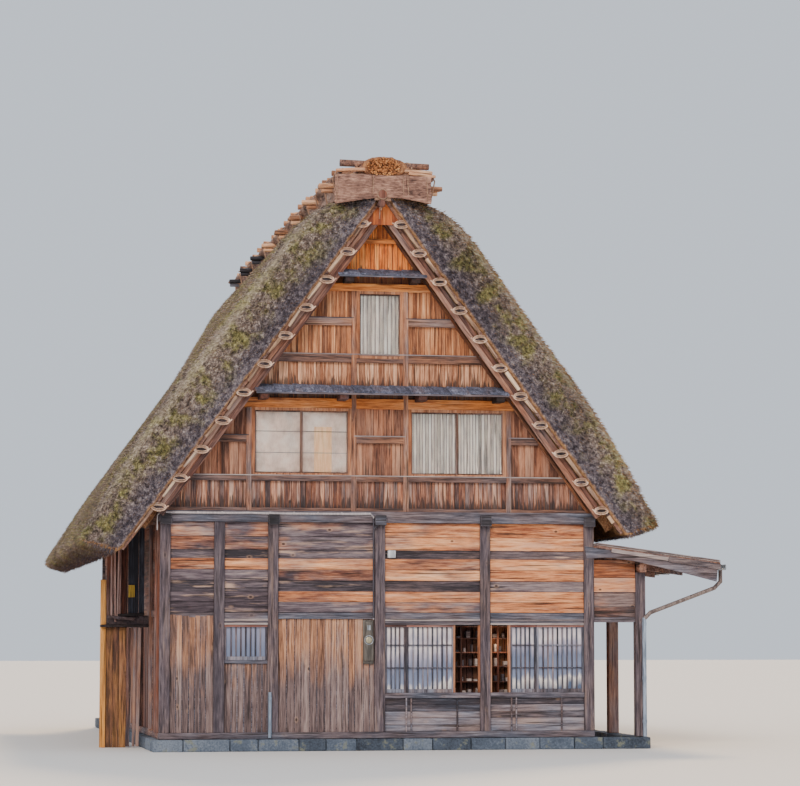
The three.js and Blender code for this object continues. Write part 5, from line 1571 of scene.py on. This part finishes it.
def veranda_weather(x, z, tones):
    """The boards under the lean-to grey towards their foot, and one row is greyer than the rest."""
    return 0.45 - 1.0 * (z - 2.6) + 0.5 * (np.abs(z - 2.75) < 0.05)


def leanto_boards(rng, middle_x, tilt):
    """Two layers of split boards on the lean-to's roof."""
    piece = start("leanto_roof_boards")
    for layer, lift in ((0, 0.012), (1, 0.034)):
        y = -LEANTO_OVER - 0.02 * layer
        for width in widths(LENGTH + 2 * LEANTO_OVER + 0.04 * layer, 0.29, rng):
            long = (LEANTO_END - LEANTO_START) / math.cos(tilt) + rng.uniform(-0.02, 0.02)
            z = LEANTO_TOP - LEANTO_FALL * (middle_x - LEANTO_START) + lift + rng.uniform(0, 0.006)
            slab((middle_x, y + width / 2, z), (long, width - 0.006, 0.02), (0, tilt, 0))
            y += width
    close(piece, ROOF_BOARD, "boards", 0.004, seed=101)


def leanto():
    """The lean-to's roof, the boards over the veranda's end, and the faces of its posts."""
    for node, finish, slot in (("leanto_roof", BEAM_SIDE, "boards"),
                               ("leanto_barge_board", BEAM_LYING, "timber"),
                               ("veranda_frame", BEAM_SIDE, "timber"),
                               ("veranda_boards", BEAM_LYING, "boards")):
        worn_copy(node, finish, slot, 0.008)
    rng = random.Random(29)
    tilt = math.atan(LEANTO_FALL)
    leanto_boards(rng, (LEANTO_START + LEANTO_END) / 2, tilt)
    piece = start("veranda_lying_boards")
    right = VERANDA_X - HALF_POST
    lying_boards(OUTSIDE, right, VERANDA_ROWS[:2], WALL_FACE, rng)
    for z0, z1, stand in VERANDA_ROWS[2:]:
        block(OUTSIDE, right, -0.052 - stand, -0.015, z0, z1)
    close(piece, BOARD_SHELTERED, "boards", 0.004, seed=102, weather=veranda_weather)
    piece = start("leanto_edge_boards")
    half_thick, inset = 0.018, 0.008
    for x0, x1, drop in ((4.30, 5.40, 0.034), (5.40, 6.41, 0.052)):
        z = LEANTO_TOP - LEANTO_FALL * ((x0 + x1) / 2 - LEANTO_START) - 0.045 - drop / 2
        for y in (-LEANTO_OVER + inset, LENGTH + LEANTO_OVER - inset):
            block(x0, x1, y - half_thick, y + half_thick, z - drop, z + drop, (0, tilt + 0.012, 0))
    close(piece, ROOF_BOARD, "timber", 0.005, seed=118)
    piece = start("veranda_post_faces")
    half = HALF_POST + PROUD
    for i in range(1, 8):
        y = i * BAY
        block(VERANDA_X - half, VERANDA_X + half, y - half, y + half, FOOTING_TOP + 0.001, 3.25)
    close(piece, POST_SIDE, "timber", 0.012, 2, seed=100)


PIPE_PATH = [(6.455, 3.31), (6.455, 3.09), (6.335, 2.97), (5.095, 2.51), (4.975, 2.39), (4.975, 0.2203)]
PIPE_X, PIPE_Y, PIPE_RADIUS = 4.975, -0.15, 0.038
GUTTER_IN, GUTTER_OUT, GUTTER_FOOT, GUTTER_RIM = 6.34, 6.515, 3.300, 3.40


def rainwater():
    """The gutter, and its pipe: painted tan as sunlight where it slants, grey tinted blue as painted shade
    where it stands.
    """
    worn_copy("gutter", ZINC, "gutter_metal", 0.01)
    piece = start("gutter_brackets")
    half = 0.012
    for i in range(20):
        y = -0.3 + i * (LENGTH + 0.6) / 19
        block(GUTTER_IN, GUTTER_OUT, y - half, y + half, GUTTER_FOOT, GUTTER_FOOT + 0.012)
        block(GUTTER_OUT - 0.007, GUTTER_OUT - 0.001, y - half, y + half, GUTTER_FOOT, GUTTER_RIM)
    close(piece, ZINC, "gutter_metal", seed=103)
    for name, path, material in (("downpipe_slanting", PIPE_PATH[:5], PIPE_TAN),
                                 ("downpipe_upright", PIPE_PATH[4:], PIPE_GREY)):
        piece = start(name)
        for (x0, z0), (x1, z1) in zip(path, path[1:]):
            pole((x0, PIPE_Y, z0), (x1, PIPE_Y, z1), PIPE_RADIUS, 16)
        for x, z in path[1:-1] or path[:1]:
            ball((x, PIPE_Y, z), PIPE_RADIUS + 0.0015, 16)
        if name == "downpipe_upright":
            for z in (2.30, 1.3, 0.5):
                pole((PIPE_X, PIPE_Y, z - 0.03), (PIPE_X, PIPE_Y, z + 0.03), PIPE_RADIUS + 0.005, 16)
                block(PIPE_X - 0.03, PIPE_X + 0.03, PIPE_Y, PIPE_Y + 0.06, z - half, z + half)
        close(piece, material, "gutter_metal", seed=104, smooth=True, replaces=("downpipe",))


# Small things on the walls


METER_X, METER_Z, METER_FRONT = -0.215, 2.0, -0.128


def meter():
    """A rounded meter under a glass dome, hung on a plate of the wall."""
    piece = start("meter_case")
    plate, body, cover = (0.10, -0.075, 1.565, 2.365), (0.09, -0.135, 1.62, 2.02), (0.07, -0.130, 2.05, 2.34)
    for (half, front, bottom, top), back in ((plate, -0.045), (body, -0.07), (cover, -0.07)):
        block(METER_X - half, METER_X + half, front, back, bottom, top)
    bevel(0.028, 3)
    pole((METER_X, METER_FRONT, METER_Z), (METER_X, -0.06, METER_Z), 0.098, 24)
    close(piece, METER_GREY, "meter_grey", seed=105, smooth=True, replaces=("meter_box",))
    piece = start("meter_dial")
    dial = (METER_X, METER_FRONT, METER_Z)
    ball(dial, 0.062, 20)
    bpy.ops.mesh.select_all(action="SELECT")
    bpy.ops.transform.resize(value=(1, 0.25, 1), center_override=dial)
    close(piece, METER_DIAL, "meter_grey", seed=106, smooth=True)
    piece = start("meter_rim")
    loop((METER_X, METER_FRONT - 0.008, METER_Z), (math.pi / 2, 0, 0), 0.078, 0.009, 24, 8)
    block(METER_X - 0.03, METER_X + 0.03, -0.140, -0.12, 2.18, 2.27)
    close(piece, ZINC, "meter_grey", seed=107, smooth=True)


CONDUIT_DROP, CONDUIT_Y, CONDUIT_Z = -0.130, -0.130, 4.302  # it comes down to the meter at CONDUIT_DROP
POST_PIPE_X, POST_PIPE_Y = -2.03, -0.125


def conduit():
    """The sagging cable along the girt with its clips, and the sleeve that brings it to the meter."""
    worn_copy("conduit", CONDUIT_GREY, "gutter_metal", 0.004)
    rng = random.Random(19)
    piece = start("conduit_sheath")
    bends = [(-4.03 + 0.32 * i, CONDUIT_Z + rng.uniform(-0.009, 0.003)) for i in range(12)]
    bends.append((-0.19, CONDUIT_Z))
    y, lap = CONDUIT_Y - 0.004, 0.004
    for (x0, z0), (x1, z1) in zip(bends, bends[1:]):
        pole((x0, y, z0), (x1 + lap, y, z1), 0.0225, 12)
    close(piece, CONDUIT_GREY, "gutter_metal", seed=122, smooth=True)
    piece = start("conduit_clips")
    half = 0.012
    for i in range(9):
        x = -3.8 + i * 0.44
        block(x - half, x + half, -0.150, -0.112, 4.282, 4.328)
    close(piece, CONDUIT_GREY, "gutter_metal", 0.004, seed=108)
    piece = start("front_junction_box")
    block(0.14, 0.29, -0.105, -0.045, 3.50, 3.64)
    close(piece, BOX_PALE, "meter_grey", 0.012, 3, seed=109, smooth=True)
    piece = start("conduit_sleeve")
    pole((CONDUIT_DROP, CONDUIT_Y, 2.40), (CONDUIT_DROP, CONDUIT_Y, 4.22), 0.0165, 12)
    pole((CONDUIT_DROP + 0.012, CONDUIT_Y, 4.02), (CONDUIT_DROP + 0.07, CONDUIT_Y, 4.10), 0.02, 10)
    close(piece, CONDUIT_DARK, "gutter_metal", seed=117, smooth=True)
    piece = start("post_pipe")
    for low, high, radius in ((0.24, 1.06, 0.03), (0.33, 0.37, 0.034), (0.93, 0.97, 0.034)):
        pole((POST_PIPE_X, POST_PIPE_Y, low), (POST_PIPE_X, POST_PIPE_Y, high), radius, 14)
    close(piece, PIPE_GREY, "gutter_metal", seed=110, smooth=True)


SCREEN_LEFT, SCREEN_Y = -4.935, BAY + HALF_POST + 0.005
SHELF_LOW, SHELF_TOP = 2.24, 2.46


def side_screen():
    """The plank screen with its post, and the shelf with a few laths on it."""
    piece = start("side_screen_planks")
    x = -4.826
    for width in (0.13, 0.12, 0.135):
        block(x, x + width - 0.004, SCREEN_Y + 0.03, SCREEN_Y + 0.075, 0, SHELF_LOW)
        x += width
    close(piece, PLANK_SUNLIT, "cedar", 0.006, seed=111, replaces=("side_screen",))
    piece = start("side_screen_post")
    post = 0.105
    block(SCREEN_LEFT, SCREEN_LEFT + post, SCREEN_Y, SCREEN_Y + post, 0, 3.13)
    close(piece, POST_SUNLIT, "cedar", 0.008, seed=119)
    piece = start("side_screen_shelf")
    middle = SCREEN_Y + post / 2
    block(SCREEN_LEFT, -OUTSIDE, middle - 0.13, middle + 0.13, SHELF_LOW, 2.29)
    block(SCREEN_LEFT, -OUTSIDE, middle - 0.04, middle + 0.04, 2.29, SHELF_TOP)
    block(-4.80, -4.30, middle - 0.13, middle - 0.05, 2.38, 2.44, (0, 0.09, 0))
    block(-4.62, -4.12, middle - 0.12, middle - 0.05, 2.45, 2.50, (0, -0.06, 0))
    close(piece, BRACKET_DARK, "timber", 0.006, seed=112)


def above_shelf():
    """What stands on the shelf under the eave: a dark panel, brown boards, a bare plate and thin poles."""
    piece = start("side_dark_panel")
    block(-4.42, -4.23, SCREEN_Y + 0.02, SCREEN_Y + 0.06, SHELF_TOP, 4.1)
    block(-4.22, -4.12, SCREEN_Y + 0.03, SCREEN_Y + 0.07, SHELF_TOP, 4.1)
    close(piece, PANEL_BLUE, "dark_timber", 0.005, seed=113)
    piece = start("side_brown_boards")
    for x0, x1 in ((-4.82, -4.70), (-4.69, -4.56), (-4.55, -4.43)):
        block(x0, x1, SCREEN_Y + 0.03, SCREEN_Y + 0.07, SHELF_TOP, 3.95)
    close(piece, PLANK_OLD, "dark_timber", 0.005, seed=120)
    piece = start("side_plate")
    block(-4.42, -4.30, SCREEN_Y - 0.002, SCREEN_Y + 0.021, 2.80, 3.03)
    close(piece, YELLOW_PLATE, "meter_grey", 0.003, seed=114)
    piece = start("side_poles")
    y = SCREEN_Y - 0.03
    poles = (-4.73, -0.015, 2.40), (-4.66, -0.02, 2.34), (-4.58, 0.01, 2.38), (-4.62, 0.02, 2.42)
    for x, lean, low in poles:
        pole((x, y, low), (x + lean, y, 3.95), 0.019, 8, 0.015)
    close(piece, POLE_PINK, "poles", seed=115, smooth=True)


def side_planks():
    """Planks leant on the wall beside the screen, and those nailed over the house's front corner."""
    piece = start("side_leaning_planks")
    front, back, low, high = SCREEN_Y - 0.05, SCREEN_Y - 0.025, 0.02, 2.23
    for x, lean, width in ((-4.40, 0.02, 0.075), (-4.30, 0.01, 0.05), (-4.22, 0.015, 0.06)):
        block(x - width / 2, x + width / 2, front, back, low, high, (0, lean, 0))
    close(piece, POST_SIDE, "cedar", 0.004, seed=116)
    piece = start("side_corner_planks")
    for y0, y1, out in ((0.11, 0.25, 0.030), (0.256, 0.40, 0.022), (0.406, 0.56, 0.034)):
        block(-OUTSIDE - 0.001 - out, -4.0, y0, y1, SILL_TOP, 4.12)
    close(piece, PLANK_OLD, "cedar", 0.005, seed=121)


def left_side_things():
    side_screen()
    above_shelf()
    side_planks()


# Floor and light


def stage():
    bpy.ops.mesh.primitive_plane_add(size=400, location=(0, 0, 0))
    floor = bpy.context.object
    floor.name = "floor"
    material, _, shader = new_material("pale_studio_floor", 0.9)
    shader.inputs["Base Color"].default_value = linear("#dedddb")
    floor.data.materials.append(material)


def lamp(name, kind, energy, colour):
    """A lamp in the scene, still to be placed or turned; returns it and its data."""
    data = bpy.data.lights.new(name, kind)
    data.energy = energy
    data.color = linear(colour)[:3]
    made = bpy.data.objects.new(name, data)
    bpy.context.scene.collection.objects.link(made)
    return made, data


def sun(name, turn, strength, colour, soft_degrees):
    made, data = lamp(name, "SUN", strength, colour)
    data.angle = math.radians(soft_degrees)
    made.rotation_euler = [math.radians(a) for a in turn]


def studio_light():
    """A pale sky, a broad key light, a low sun from behind and a lamp in the room behind the open leaves."""
    world = bpy.data.worlds.new("studio")
    world.use_nodes = True
    background = world.node_tree.nodes["Background"]
    background.inputs["Color"].default_value = linear("#dde6f2")
    background.inputs["Strength"].default_value = 1.05
    bpy.context.scene.world = world
    sun("key", (56, 0, -24), 2.3, "#ffecd8", 25)
    sun("rim", (-48, 22, 0), 3.2, "#ffd9a6", 12)
    room, data = lamp("room", "POINT", 4.2, "#ffd2a0")
    data.shadow_soft_size = 0.12
    room.location = (2.22, 0.20, 1.95)


front_boards()
front_frame()
front_small_frames()
front_room_shelves()
side_and_back_walls()
gables()
lattices()
footing()
thatch_coat("thatch_left", -1, 5)
thatch_coat("thatch_right", 1, 6)
ties_and_poles()
ridge()
leanto()
rainwater()
meter()
conduit()
left_side_things()
stage()
studio_light()
